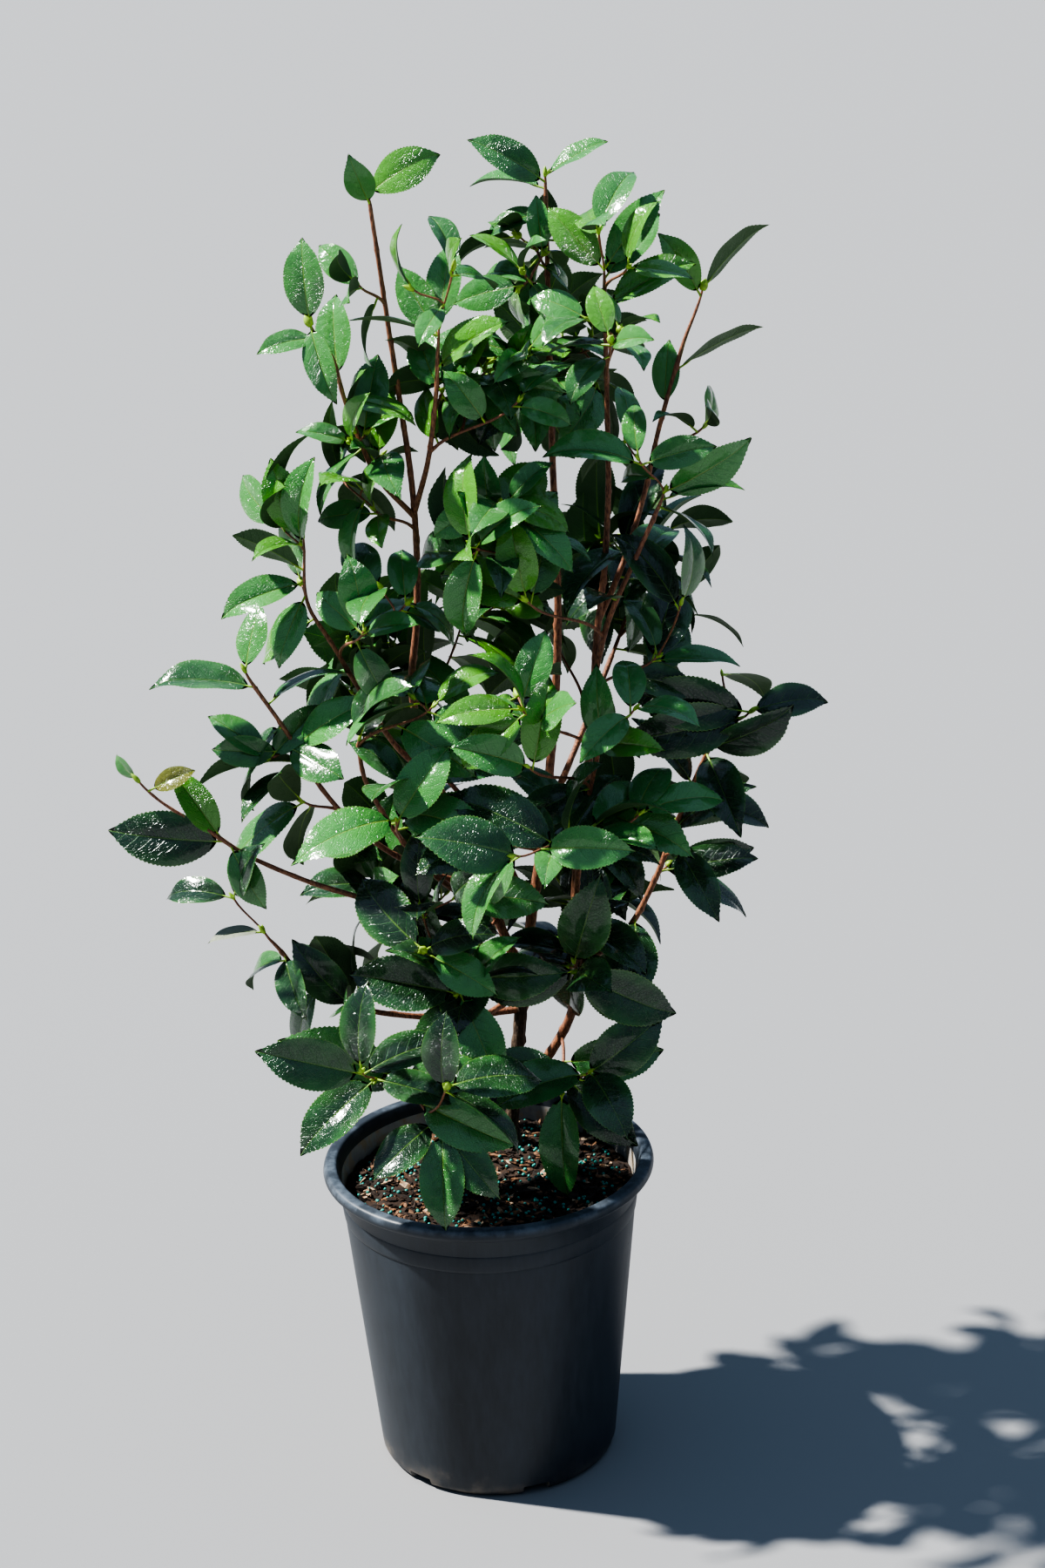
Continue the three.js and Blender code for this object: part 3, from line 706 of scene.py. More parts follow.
def wear_inside(piece, s, material):
    """Gives the dusty finish to the faces of the inner wall and floor."""
    piece.data.materials.append(material)
    for face in piece.data.polygons:
        middle = face.center
        inwards = middle.xy.dot(face.normal.xy) < 0 or face.normal.z > 0.9
        below_rim = middle.z < POT_HIGH.z - s.rim_height + 0.002
        if inwards and below_rim and middle.xy.length < wall_at(s, middle.z):
            face.material_index = 1


class CAMELLIA_OT_pot(Operator):
    """Turn the pot with its rolled rim, moulded rings and drain notches"""

    bl_idname = "camellia.pot"
    bl_label = "Pot"
    bl_options = {"REGISTER", "UNDO"}

    def execute(self, context):
        s = context.scene.camellia_pot
        piece = turned_piece("camellia_pot", pot_profile(s), POT_SIDES)
        cut_notches(piece, s)
        piece.data.materials.append(pot_material(s))
        wear_inside(piece, s, inner_wall_material(s))
        smooth(piece, 40)
        finish_piece(piece, ["pot"])
        return {"FINISHED"}


# ---- potting mix ----

MIX_SIDES, MIX_RINGS = 150, 52
MIX_SHOULDER = 0.21  # the bed's places above this height follow the lumpy top
LUMP = 0.0026  # height of the lumps, over and under the frame's smooth top
CHIP_SEED, BEAD_SEED = 21, 5
CHIP_SHARES = [0.66, 0.27, 0.07]  # dark, tan and pale chips
LONGEST_CHIP = 0.019


def frame_tree(node):
    """A search tree of a frame node's faces."""
    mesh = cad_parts[node].data
    return BVHTree.FromPolygons([v.co for v in mesh.vertices], [p.vertices[:] for p in mesh.polygons])


class MixTop:
    """Height of the potting mix, which follows the frame's with finer lumps."""

    def __init__(self):
        self.tree = frame_tree("potting_mix")
        self.edge = MIX_HIGH.x - 0.003

    def __call__(self, x, y):
        reach = math.hypot(x, y)
        shrink = min(1.0, self.edge / max(reach, 1e-9))
        hit = self.tree.ray_cast(Vector((x * shrink, y * shrink, 1.0)), Vector((0, 0, -1)))[0]
        lumps = noise.fractal(Vector((x, y, 0.3)) * 70.0, 0.9, 2.2, 5)
        return min(hit.z + LUMP * lumps - 0.0012, MIX_HIGH.z + 0.003)


def taken_apart(piece):
    """A piece's places and faces, once it is taken away."""
    points, faces = places_of(piece.data), [p.vertices[:] for p in piece.data.polygons]
    bpy.data.objects.remove(piece)
    return points, faces


def chip_pattern():
    """One splintered chip, a unit long: a box that is pinched at its ends."""
    deselect_all()
    bpy.ops.mesh.primitive_cube_add(size=1, scale=(1.0, 0.5, 0.26))
    bpy.ops.object.transform_apply(location=True, rotation=True, scale=True)
    bpy.ops.object.mode_set(mode="EDIT")
    bpy.ops.mesh.select_all(action="SELECT")
    bpy.ops.mesh.subdivide(number_cuts=1)
    bpy.ops.object.mode_set(mode="OBJECT")
    points, faces = taken_apart(bpy.context.object)
    points[:, 1:] *= (1.0 - 1.1 * np.abs(points[:, :1]) ** 1.5)
    return points, faces


def bead_pattern():
    deselect_all()
    bpy.ops.mesh.primitive_ico_sphere_add(subdivisions=2, radius=1.0)
    return taken_apart(bpy.context.object)


def spin_matrix(draw, tilt):
    """A random heading about the vertical, then a small random tilt."""
    turn = Matrix.Rotation(draw.uniform(0, 2 * math.pi), 3, "Z")
    lean = Matrix.Rotation(draw.normal(0, tilt), 3, "X") @ Matrix.Rotation(draw.normal(0, tilt), 3, "Y")
    return np.array(lean @ turn)


def scatter_spot(draw, edge):
    turn, reach = draw.uniform(0, 2 * math.pi), edge * math.sqrt(draw.uniform())
    return reach * math.cos(turn), reach * math.sin(turn)


class CAMELLIA_OT_potting_mix(Operator):
    """Fill the pot with dark mix, strew bark chips over it and scatter fertilizer beads"""

    bl_idname = "camellia.potting_mix"
    bl_label = "Potting mix"
    bl_options = {"REGISTER", "UNDO"}

    def execute(self, context):
        s = context.scene.camellia_mix
        top = MixTop()
        rings = [(r, MIX_HIGH.z) for r in np.linspace(MIX_HIGH.x - 0.0006, 0.002, MIX_RINGS)]
        bed = [(0.06, 0.19), (0.105, 0.19), (MIX_HIGH.x - 0.0035, 0.20)]
        piece = turned_piece("potting_mix_bed", bed + rings, MIX_SIDES)
        for vertex in piece.data.vertices:
            if vertex.co.z > MIX_SHOULDER:
                vertex.co.z = top(vertex.co.x, vertex.co.y)
        piece.data.materials.append(crumb_material("peat", s.peat, s.bark, 500.0, 0.95))
        smooth(piece, 60)
        finish_piece(piece, ["potting_mix"])
        self.strew_chips(s, top)
        self.scatter_beads(s, top)
        return {"FINISHED"}

    def strew_chips(self, s, top):
        draw = np.random.default_rng(CHIP_SEED)
        points, faces = chip_pattern()
        heap = Heap()
        for _ in range(s.chips):
            x, y = scatter_spot(draw, top.edge - 0.004)
            length = s.chip_length * draw.lognormal(-0.25, 0.42)
            size = np.array([min(length, LONGEST_CHIP), length * draw.uniform(0.5, 1.3),
                             length * draw.uniform(0.5, 1.2)])
            shaken = points * (1 + draw.normal(0, 0.14, points.shape))
            chip = (shaken * size) @ spin_matrix(draw, 0.35).T
            kind = draw.choice(3, p=CHIP_SHARES)
            heap.add(chip + (x, y, top(x, y) + 0.0009), faces, int(kind))
        materials = [crumb_material("bark_dark", s.bark, s.peat),
                     crumb_material("bark_tan", s.tan, s.bark, 420.0),
                     crumb_material("bark_pale", s.pale, s.tan)]
        piece = heap.piece("bark_chips", materials)
        finish_piece(piece)

    def scatter_beads(self, s, top):
        draw = np.random.default_rng(BEAD_SEED)
        points, faces = bead_pattern()
        heap = Heap()
        for _ in range(s.prills):
            x, y = scatter_spot(draw, top.edge - 0.006)
            radius = s.prill_radius * draw.uniform(0.8, 1.2)
            squash = 1 + draw.normal(0, 0.05, 3)
            heap.add(points * radius * squash + (x, y, top(x, y) + 0.0022), faces)
        bead = crumb_material("bead", s.bead, scaled(s.bead, 1.4), 900.0, 0.45)
        piece = heap.piece("fertilizer_beads", [bead])
        smooth(piece, 180)
        finish_piece(piece)


# ---- limbs ----

# Each limb's parent, and the mass that it ends in.
LIMBS = {
    "leader_centre": ("trunk", "mass_top_centre"),
    "leader_left": ("trunk", "mass_top_left"),
    "leader_right": ("trunk", "mass_right_crest"),
    "bough_left_far": ("trunk", "mass_far_left"),
    "bough_left_low": ("trunk", "mass_left_low"),
    "bough_front_low": ("trunk", "mass_foot_left"),
    "bough_right_top": ("leader_right", "mass_far_right_top"),
    "bough_right_front": ("leader_right", "mass_right_waist"),
    "bough_right_low": ("leader_right", "mass_right_dark"),
    "bough_front_right": ("leader_right", "mass_front_right"),
    "bough_left_high": ("leader_left", "mass_left_crest"),
    "bough_front_high": ("leader_left", "mass_front_crest"),
    "bough_left_mid": ("leader_left", "mass_left_flank"),
    "bough_left_upper": ("leader_left", "mass_left_tip"),
    "bough_left_front": ("leader_left", "mass_front_left"),
    "bough_back_left": ("leader_centre", "mass_back_left"),
    "bough_back_right": ("leader_centre", "mass_back_right"),
}
RING_SIDES = 6  # corners of each ring of a limb in the frame
RING_GAP = 0.014  # places further apart than this belong to different rings
LIMB_STEP = 0.003  # distance between two places on a limb's smooth line
BARE_FOOT = 0.10  # height over the mix up to which the stems bear hardly any shoots


def frame_points(node):
    return np.unique(places_of(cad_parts[node].data).round(6), axis=0)


def trunk_line():
    """Rows of x, y, z and radius up the trunk, from its rings."""
    points = frame_points("trunk")
    rows = []
    for height in np.unique(points[:, 2].round(4)):
        ring = points[np.abs(points[:, 2] - height) < 2e-4]
        middle = ring.mean(0)
        rows.append([*middle, np.linalg.norm(ring - middle, axis=1).mean()])
    return np.array(rows)


def limb_line(node, parent):
    """Rows of x, y, z and radius along a limb, from the parent's middle line to the limb's tip."""
    points = frame_points(node)
    apart = np.linalg.norm(points[:, None] - parent[None, :, :3], axis=2)
    foot = points[np.argmin(apart.min(1))]
    far = np.linalg.norm(points - foot, axis=1)
    order = np.argsort(far)
    rings = np.split(points[order], np.flatnonzero(np.diff(far[order]) > RING_GAP) + 1)
    whole = [ring for ring in rings if len(ring) == RING_SIDES]
    rows = [[*ring.mean(0), np.linalg.norm(ring - ring.mean(0), axis=1).mean()] for ring in whole]
    if len(rings[-1]) != RING_SIDES:
        rows.append([*rings[-1].mean(0), rows[-1][3] * 0.95])
    joint = parent[np.argmin(np.linalg.norm(parent[:, :3] - foot, axis=1))]
    start = [*(joint[:3] - UP * 0.004), min(joint[3] * 0.95, rows[0][3] * 1.25)]
    return np.array([start, *rows])


def limb_lines():
    """Smooth middle lines of the trunk and every limb."""
    lines = {"trunk": flowing(trunk_line(), LIMB_STEP)}
    for name, (parent, _) in LIMBS.items():
        lines[name] = flowing(limb_line(name, lines[parent]), LIMB_STEP)
    return lines


def bark_relief(seed, girth, nodes_apart, rough):
    """Swollen rings with a leaf scar on one side, low ridges along the limb and small warts."""
    draw = np.random.default_rng(seed)
    rings = np.cumsum(draw.uniform(0.75, 1.3, 60)) * nodes_apart
    scars = draw.uniform(0, 2 * math.pi, 60)

    def relief(turn, run):
        out = np.zeros_like(run)
        for ring, scar in zip(rings, scars):
            near = np.exp(-(((run - ring) / 0.0022) ** 2))
            facing = np.exp(-((np.angle(np.exp(1j * (turn - scar))) / 0.8) ** 2))
            out += girth * near * (0.10 + 0.28 * facing)
        for i in range(run.shape[0]):
            for k in range(run.shape[1]):
                spot = Vector((math.cos(turn[i, k]), math.sin(turn[i, k]), run[i, k] * 55 + seed * 3.1))
                out[i, k] += girth * rough * noise.fractal(spot * 1.7, 0.8, 2.1, 4)
        return out

    return relief


def bark_tube(heap, line, seed, sides, nodes_apart, rough):
    girth = float(line[:, 3].mean())
    points, faces = tube(line[:, :3], line[:, 3], sides, bark_relief(seed, girth, nodes_apart, rough))
    heap.add(points, faces)


def flared(line):
    """Widens the trunk's foot into its root flare, a little below the surface of the mix."""
    line = line.copy()
    foot = line[0, 2]
    line[:, 3] = np.minimum(line[:, 3], 0.0064 + 0.0062 * np.exp(-(line[:, 2] - foot) / 0.009))
    below = line[:1].copy()
    below[0, 2] -= 0.006
    below[0, 3] *= 1.06
    return np.concatenate([below, line])


class CAMELLIA_OT_limbs(Operator):
    """Cover the trunk, the leaders and the boughs with bark that has leaf scars and ridges"""

    bl_idname = "camellia.limbs"
    bl_label = "Trunk and boughs"
    bl_options = {"REGISTER", "UNDO"}

    def execute(self, context):
        s = context.scene.camellia_wood
        lines = grown(context).lines
        old = bark_material("old_bark", s.old_bark, s.old_furrow, 420.0, 0.78, 0.8)
        young = bark_material("young_bark", s.young_bark, s.young_furrow, 650.0, 0.55, 0.5)
        trunk = Heap()
        bark_tube(trunk, flared(lines["trunk"]), 1, 20, 0.045, 0.10)
        piece = trunk.piece("trunk_bark", [old])
        smooth(piece, 70)
        finish_piece(piece, ["trunk"])
        for kind in ("leader", "bough"):
            names = [name for name in LIMBS if name.startswith(kind)]
            heap = Heap()
            for i, name in enumerate(names):
                bark_tube(heap, lines[name], 10 + i, 12, 0.032, 0.07)
            piece = heap.piece(kind + "_bark", [young])
            smooth(piece, 70)
            finish_piece(piece, names)
        return {"FINISHED"}


# ---- growth ----

# How many leaves a mass bears, where that isn't left to the room that it has.
LEAF_COUNTS = {
    "mass_top_left": 2, "mass_top_centre": 3, "mass_left_crest": 8, "mass_front_crest": 9,
    "mass_right_crest": 9, "mass_far_right_top": 4, "mass_left_tip": 2, "mass_far_left": 5,
    "mass_right_dark": 6, "mass_left_low": 5, "mass_left_hem": 10, "mass_foot_left": 7,
    "mass_foot_front": 8, "mass_foot_right": 8, "mass_right_waist": 9, "mass_right_middle": 10,
    "mass_right_gap": 3, "mass_right_low": 11, "mass_right_hem": 16, "mass_front_hem": 23,
}
FILL = 0.77  # how close the leaves of the other masses stand
BACK_SPARSER = 0.92  # how many leaves the back's masses bear, against that
MASS_REACH = 1.14  # half axes of a mass's ball, against those of its moments
LEAF_BEYOND = 0.052  # how far the last leaves reach beyond the tip of their shoot
SPIRAL = math.radians(144)  # two turns in five leaves
TRIES = 16  # ways in which each leaf is tried
MOST_ON_SHOOT = 7
# What each fault of a leaf's place costs.
COST = SimpleNamespace(beyond=4.0, crowding=0.55, stray=0.35, kept_out=90, hanging=0.3)
OVER_RIM, OVER_MIX = 0.004, 0.010  # heights that leaves keep over the rim and over the mix
INSIDE_WALL = 0.112  # how far from the pot's axis leaves stay, below the rim
STEEP = math.radians(33)  # past this a leaf with an aim shows its upper side to the front
SHORT_END = 0.006  # how far a limb's end runs on at least
END_PERCH = 17  # places at a limb's end that also bear leaves of the shoot that it runs on in


def aim(turn, pitch, length, down=None, tile=None, front=False):
    """A leaf that shapes the outline: heading from the right (90 is away, -90 forward) and pitch from foot to
    tip in degrees, length, distance down from the shoot's tip, the leaf map's tile where that is given, and
    whether it shows its upper side to the front, as steep ones always do."""
    turn, pitch = math.radians(turn), math.radians(pitch)
    way = np.array([math.cos(turn) * math.cos(pitch), math.sin(turn) * math.cos(pitch), math.sin(pitch)])
    return SimpleNamespace(way=way, front=front or abs(pitch) > STEEP, length=length, down=down, tile=tile)


# The aims of the leaves on a mass's first shoot, from its tip down.
AIMS = {
    "mass_top_left": [aim(15, 28, 0.058, 0.001), aim(240, 56, 0.044, 0.010)],
    "mass_top_centre": [aim(12, 30, 0.050, 0.001), aim(182, 36, 0.064, 0.010)],
    "mass_far_right_top": [aim(20, 32, 0.068, 0.001), aim(185, 52, 0.054, 0.008), aim(0, 25, 0.070, 0.068),
                           aim(95, 76, 0.048, 0.100)],
    "mass_left_crest": [aim(110, 76, 0.060, 0.001), aim(-60, -58, 0.058, 0.006), aim(195, -14, 0.044, 0.014),
                        aim(100, 60, 0.062, 0.050)],
    "mass_front_crest": [aim(60, 62, 0.060, 0.001), aim(150, 50, 0.056, 0.008), aim(190, 8, 0.066),
                         aim(-20, 30, 0.066)],
    "mass_right_crest": [aim(15, 52, 0.070, 0.001), aim(160, 40, 0.060, 0.007), aim(35, 42, 0.066),
                         aim(5, 25, 0.070)],
    "mass_left_tip": [aim(60, 58, 0.052, 0.002), aim(181, 2, 0.078, 0.016)],
    "mass_far_left": [aim(150, 40, 0.024, 0.001), aim(5, 24, 0.036, 0.012, YELLOWED, True),
                      aim(178, 60, 0.064, 0.084, YOUNG), aim(180, 5, 0.088, 0.088, 1),
                      aim(-30, -62, 0.054, 0.094, 5)],
    "mass_left_flank": [aim(180, 74, 0.062, 0.001, YOUNG), aim(180, 24, 0.058, 0.030),
                        aim(190, -14, 0.066, 0.038), aim(215, -55, 0.056, 0.048)],
    "mass_right_waist": [aim(0, 32, 0.074, 0.001), aim(0, 5, 0.060, 0.010), aim(-45, -30, 0.056)],
    # Tile 0, the darkest, paints the shade that lies on the lower right of the crown.
    "mass_right_dark": [aim(0, 4, 0.058, 0.001, 0), aim(176, 16, 0.092, 0.004, 0, True),
                        aim(184, -12, 0.094, 0.008, 0, True), aim(-20, 30, 0.076, 0.050),
                        aim(-70, -40, 0.076, 0.056)],
    "mass_left_shoulder": [aim(20, 38, 0.056, 0.001), aim(178, 2, 0.052, 0.012), aim(160, 30, 0.056, 0.004),
                           aim(-50, -10, 0.060)],
    "mass_left_low": [aim(182, -14, 0.042, 0.002, DRIED), aim(-65, -40, 0.055, 0.030)],
    "mass_foot_left": [aim(200, -34, 0.080, 0.001), aim(-15, -16, 0.062, 0.004),
                       aim(176, 22, 0.092, 0.026, 5, True), aim(-20, 2, 0.084, 0.034, 4, True)],
    "mass_foot_front": [aim(-45, -38, 0.066, 0.001), aim(-95, -68, 0.074, 0.003),
                        aim(-150, -25, 0.064, 0.012), aim(-30, -14, 0.084, 0.034, 5, True),
                        aim(172, 16, 0.070), aim(-10, 8, 0.084)],
    "mass_foot_right": [aim(-92, -76, 0.084, 0.001), aim(-25, -46, 0.080, 0.030),
                        aim(174, 4, 0.070, 0.036, 3, True), aim(5, 4, 0.078, 0.044)],
    "mass_front_hem": [aim(178, 8, 0.084, None, 2, True), aim(-35, -62, 0.080), aim(-150, -66, 0.078),
                       aim(-20, 5, 0.080, None, 3, True), aim(-95, -30, 0.070)],
    "mass_right_hem": [aim(-8, -24, 0.084, None, 2, True), aim(186, -12, 0.078), aim(-80, 6, 0.076)],
    "mass_right_low": [aim(0, 12, 0.066), aim(-5, -25, 0.074), aim(0, 5, 0.074)],
}

# Where the first shoot of a mass ends, and the limb that it leaves at its nearest place.
SHOOT_TIPS = {
    "mass_top_centre": ("leader_centre", (0.075, 0.060, 1.080)),
    "mass_top_left": ("leader_left", (-0.062, 0.020, 1.076)),
    "mass_right_crest": ("leader_right", (0.117, 0.020, 1.012)),
    "mass_far_right_top": ("bough_right_top", (0.196, 0.055, 0.988)),
    "mass_left_crest": ("bough_left_high", (-0.110, -0.014, 0.984)),
    "mass_front_crest": ("bough_front_high", (-0.012, -0.024, 0.980)),
    "mass_right_waist": ("bough_right_front", (0.158, -0.012, 0.842)),
    "mass_right_dark": ("bough_right_low", (0.226, 0.010, 0.652)),
    "mass_left_tip": ("bough_left_upper", (-0.178, 0.000, 0.706)),
    "mass_far_left": ("bough_left_far", (-0.268, -0.014, 0.622)),
    "mass_left_flank": ("bough_left_mid", (-0.126, 0.008, 0.812)),
    "mass_left_shoulder": ("bough_left_upper", (-0.163, -0.006, 0.634)),
    "mass_left_low": ("bough_left_low", (-0.176, -0.010, 0.486)),
    "mass_foot_left": ("bough_front_low", (-0.088, -0.084, 0.384)),
    "mass_foot_front": ("bough_front_low", (-0.036, -0.102, 0.346)),
    "mass_foot_right": ("leader_right", (0.063, -0.032, 0.341)),
    "mass_front_hem": ("leader_left", (-0.020, -0.046, 0.440)),
    "mass_right_hem": ("leader_right", (0.078, -0.030, 0.448)),
}


def frame_triangles(node):
    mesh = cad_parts[node].data
    mesh.calc_loop_triangles()
    return places_of(mesh)[np.array([t.vertices[:] for t in mesh.loop_triangles])]


def mass_shape(node):
    """Middle and half axes of the ball with a mass's volume moments, where its thin stalk hardly counts."""
    a, b, c = np.moveaxis(frame_triangles(node), 1, 0)
    volume = np.einsum("ij,ij->i", a, np.cross(b, c)) / 6
    total = volume.sum()
    middle = ((a + b + c) * volume[:, None]).sum(0) / (4 * total)
    squares = ((a * a + b * b + c * c + a * b + b * c + c * a) * volume[:, None]).sum(0) / (10 * total)
    return middle, np.sqrt(5 * (squares - middle**2)) * MASS_REACH


def tone_with_painted_shade(place):
    """How light the leaves of a spray are, from 0 to 1. Low down the leaves are older and also lie in painted
    shade. At the right of the crown, below its top, the crown's own shade is painted in as darker leaves.
    """
    high = ease(0.36, 0.80, place[2])
    # painted shade: the right side of the crown, below its top, gets darker leaves
    painted_shade_right = ease(0.10, 0.17, place[0]) * (1 - ease(0.72, 0.86, place[2]))
    return (0.15 + 0.67 * high) * (1 - 0.80 * painted_shade_right)


class Mass:
    """A mass of leaves in the frame, as a ball with three half axes."""

    def __init__(self, name):
        self.name = name
        self.middle, self.half = mass_shape(name)
        self.tone = tone_with_painted_shade(self.middle)
        self.leaf_size = 1 - 0.29 * float(ease(0.55, 1.0, self.middle[2]))

    def depth(self, points):
        """0 at the middle, 1 at the mass's skin."""
        return np.linalg.norm((points - self.middle) / self.half, axis=-1)

    def wanted(self, room):
        fill = FILL * 8 * np.prod(self.half) / room**3 / self.leaf_size**2
        if "back" in self.name:
            fill *= BACK_SPARSER
        return LEAF_COUNTS.get(self.name, max(3, round(fill)))


class Wood:
    """Places on all wood so far, with the direction and the radius there."""

    def __init__(self, lines):
        self.places = np.concatenate([line[::3, :3] for line in lines.values()])
        self.headings = np.concatenate([frames_along(line[:, :3])[0][::3] for line in lines.values()])
        self.radii = np.concatenate([line[::3, 3] for line in lines.values()])

    def add(self, line):
        self.places = np.concatenate([self.places, line[:, :3]])
        self.headings = np.concatenate([self.headings, frames_along(line[:, :3])[0]])
        self.radii = np.concatenate([self.radii, line[:, 3]])

    def foot_for(self, target):
        """Where a shoot to the target best leaves the wood: near, and low enough to climb to it."""
        way = target - self.places
        level = np.hypot(way[:, 0], way[:, 1])
        cost = np.linalg.norm(way, axis=1) + 1.6 * np.maximum(0, 0.55 * level - way[:, 2])
        cost += 4 * np.maximum(0, MIX_HIGH.z + BARE_FOOT - self.places[:, 2])
        return int(np.argmin(cost))


class Crowd:
    """Places on all leaves so far, to keep new leaves off them."""

    def __init__(self):
        self.places = np.full((1, 3), 9.0)

    def add(self, points):
        self.places = np.concatenate([self.places, points])

    def press(self, points, reach=0.020):
        apart = np.linalg.norm(points[:, None] - self.places[None], axis=2)
        return float(np.exp(-((apart / reach) ** 2)).sum())

    def clearance(self, point):
        return float(np.linalg.norm(self.places - point, axis=1).min())


def shoot_line(start, heading, target, s, thick):
    """A shoot's rows of x, y, z and radius: it leaves along heading and bends up to the target."""
    span = np.linalg.norm(target - start)
    lift = unit(unit(target - start) + 0.45 * UP)
    knots = [start, start + heading * span * 0.36, target - lift * span * 0.36, target]
    t = np.linspace(0, 1, max(4, round(span / 0.005)))[:, None]
    weights = [(1 - t) ** 3, 3 * t * (1 - t) ** 2, 3 * t**2 * (1 - t), t**3]
    line = sum(w * k for w, k in zip(weights, knots))
    radii = thick + (s.tip_radius - thick) * t
    return np.concatenate([line, radii], 1)


def midrib(base, direction, normal, length, arch, along):
    """Places on an arching midrib at the shares along of its length."""
    along = np.asarray(along, float)[:, None]
    bend = arch * along
    return base + length / arch * (direction * np.sin(bend) - normal * (1 - np.cos(bend)))


def keep_out(points):
    """How far places stray into the pot's wall, close to the mix or out of the frame's box."""
    reach = np.hypot(points[:, 0], points[:, 1])
    low = points[:, 2] < POT_HIGH.z + OVER_RIM
    wall = np.where(low, np.maximum(0, reach - INSIDE_WALL), 0)
    ground = np.maximum(0, MIX_HIGH.z + OVER_MIX - points[:, 2])
    outside = np.maximum(0, np.maximum(CAD_BOX[0] - points, points - CAD_BOX[1])).max(1)
    return float((wall + ground + outside).sum())


def leaf_normal(base, direction, heading, draw, wish):
    """The upper side looks up, to the light and away from the plant's middle, or else to the front."""
    if wish and wish.front:
        return square_to(direction, FRONT + draw.normal(0, 0.15, 3))
    outwards = unit((base - AXIS) * (0.4, 1.0, 0.0) - (0.0, 0.015, 0.0))
    hint = 0.20 * heading + 0.42 * UP + 0.32 * LIGHT_FROM + 0.55 * outwards + draw.normal(0, 0.32, 3)
    return square_to(direction, hint)


def sprout_direction(draw, heading, azimuth, lean):
    """A leaf's direction at lean from the shoot, and at azimuth round it."""
    out = turned_about(square_to(heading, np.array([1.0, 0.1, 0.05])), heading, azimuth)
    direction = heading * math.cos(lean) + out * math.sin(lean)
    return unit(direction + UP * draw.normal(0.02, 0.12))


def try_leaf(draw, foot, heading, direction, length, mass, crowd, stray, wish):
    """One way to set a leaf on a shoot, with what it costs."""
    normal = leaf_normal(foot, direction, heading, draw, wish)
    arch = 0.22 + 0.65 * draw.uniform() + 0.40 * np.hypot(*direction[:2]) * draw.uniform()
    if wish:
        arch *= 0.6
        rise = direction * math.cos(arch / 2) + normal * math.sin(arch / 2)
        normal = normal * math.cos(arch / 2) - direction * math.sin(arch / 2)
        direction = rise
    petiole = foot + direction * draw.uniform(0.005, 0.0075)
    points = midrib(petiole, direction, normal, length, arch, [0.3, 0.62, 1.0])
    depth = mass.depth(points)
    cost = COST.beyond * np.maximum(0, depth - 1.0).sum() + COST.crowding * crowd.press(points)
    cost += COST.stray * stray**2
    cost += COST.kept_out * keep_out(points) + COST.hanging * max(0.0, -direction[2] - 0.3)
    return SimpleNamespace(cost=cost, foot=foot, base=petiole, direction=direction, normal=normal,
                           arch=arch, length=length, points=points)


def set_leaf(draw, foot, heading, azimuth, lean, mass, crowd, s, wish):
    """Tries a leaf in a few ways about its place in the spiral, or along the aim that it is given as its
    wish, and keeps the best one."""
    scale = s.shortest + (s.longest - s.shortest) * draw.beta(2.1, 2.0)
    scale = mass.leaf_size * min(scale, max(s.shortest, 1.5 * float(mass.half.max())))
    best = None
    for i in range(TRIES):
        stray = draw.normal(0, 0.45) * (i > 0)
        lean_now = lean + draw.normal(0, 0.22) * (i > 0)
        length = scale * (1.0 if i < TRIES // 2 else draw.uniform(0.78, 1.0))
        direction = sprout_direction(draw, heading, azimuth + stray, lean_now)
        if wish:
            direction, length = unit(wish.way + draw.normal(0, 0.05, 3)), wish.length
        leaf = try_leaf(draw, foot, heading, direction, length, mass, crowd, stray, wish)
        if best is None or leaf.cost < best.cost:
            best = leaf
    best.fold = s.fold * draw.uniform(0.4, 1.5)
    best.twist = draw.normal(0, 0.22)
    best.wave = draw.uniform(0.2, 1.0)
    best.phase = draw.uniform(0, 2 * math.pi)
    best.hook = draw.uniform(0.1, 0.9)
    best.width = draw.normal(1.0, 0.07)
    # The tile follows the mass's tone with some chance, so the leaves low down and at the right get dark
    # tiles: partly random tone, partly painted shade.
    best.tile = int(np.clip(round(9.2 * mass.tone + draw.normal(0, 2.1)), 0, YOUNG))
    if wish and wish.tile is not None:
        best.tile = wish.tile
    best.mass = mass.name
    crowd.add(best.points)
    return best


def leaves_on(draw, line, count, mass, crowd, wood, settings, tip=True, aims=()):
    """Sets count leaves along a shoot, from its tip down, in a spiral."""
    headings = frames_along(line[:, :3])[0]
    run = run_along(line[:, :3])
    azimuth = draw.uniform(0, 2 * math.pi)
    down = 0.0015 if tip else draw.uniform(0.004, 0.02)
    leaves = []
    for k in range(count):
        wish = aims[k] if k < len(aims) else None
        if wish and wish.down:
            down = wish.down
        place = max(0.0, run[-1] - down)
        i = min(np.searchsorted(run, place), len(line) - 1)
        last_pair = tip and k < 2
        lean = draw.uniform(0.40, 0.90) if last_pair else draw.uniform(1.10, 1.75)
        leaves.append(set_leaf(draw, line[i, :3], headings[i], azimuth, lean, mass, crowd, settings, wish))
        azimuth += math.pi * 0.9 if last_pair else SPIRAL
        down += 0.0045 if last_pair else wood.internode * draw.uniform(0.75, 1.25)
        if down > run[-1]:
            break
    return leaves


def pick_target(draw, mass, crowd):
    """The roomiest of a few random places in the mass, with a wish to be high."""
    best, best_score = None, -1.0
    for _ in range(40):
        spot = unit(draw.normal(0, 1, 3)) * (0.70, 0.70, 0.58) * draw.uniform() ** 0.4
        target = mass.middle + spot * mass.half
        score = crowd.clearance(target) * (1 + 0.35 * spot[2])
        score -= 8 * keep_out(target[None])
        if score > best_score:
            best, best_score = target, score
    return best


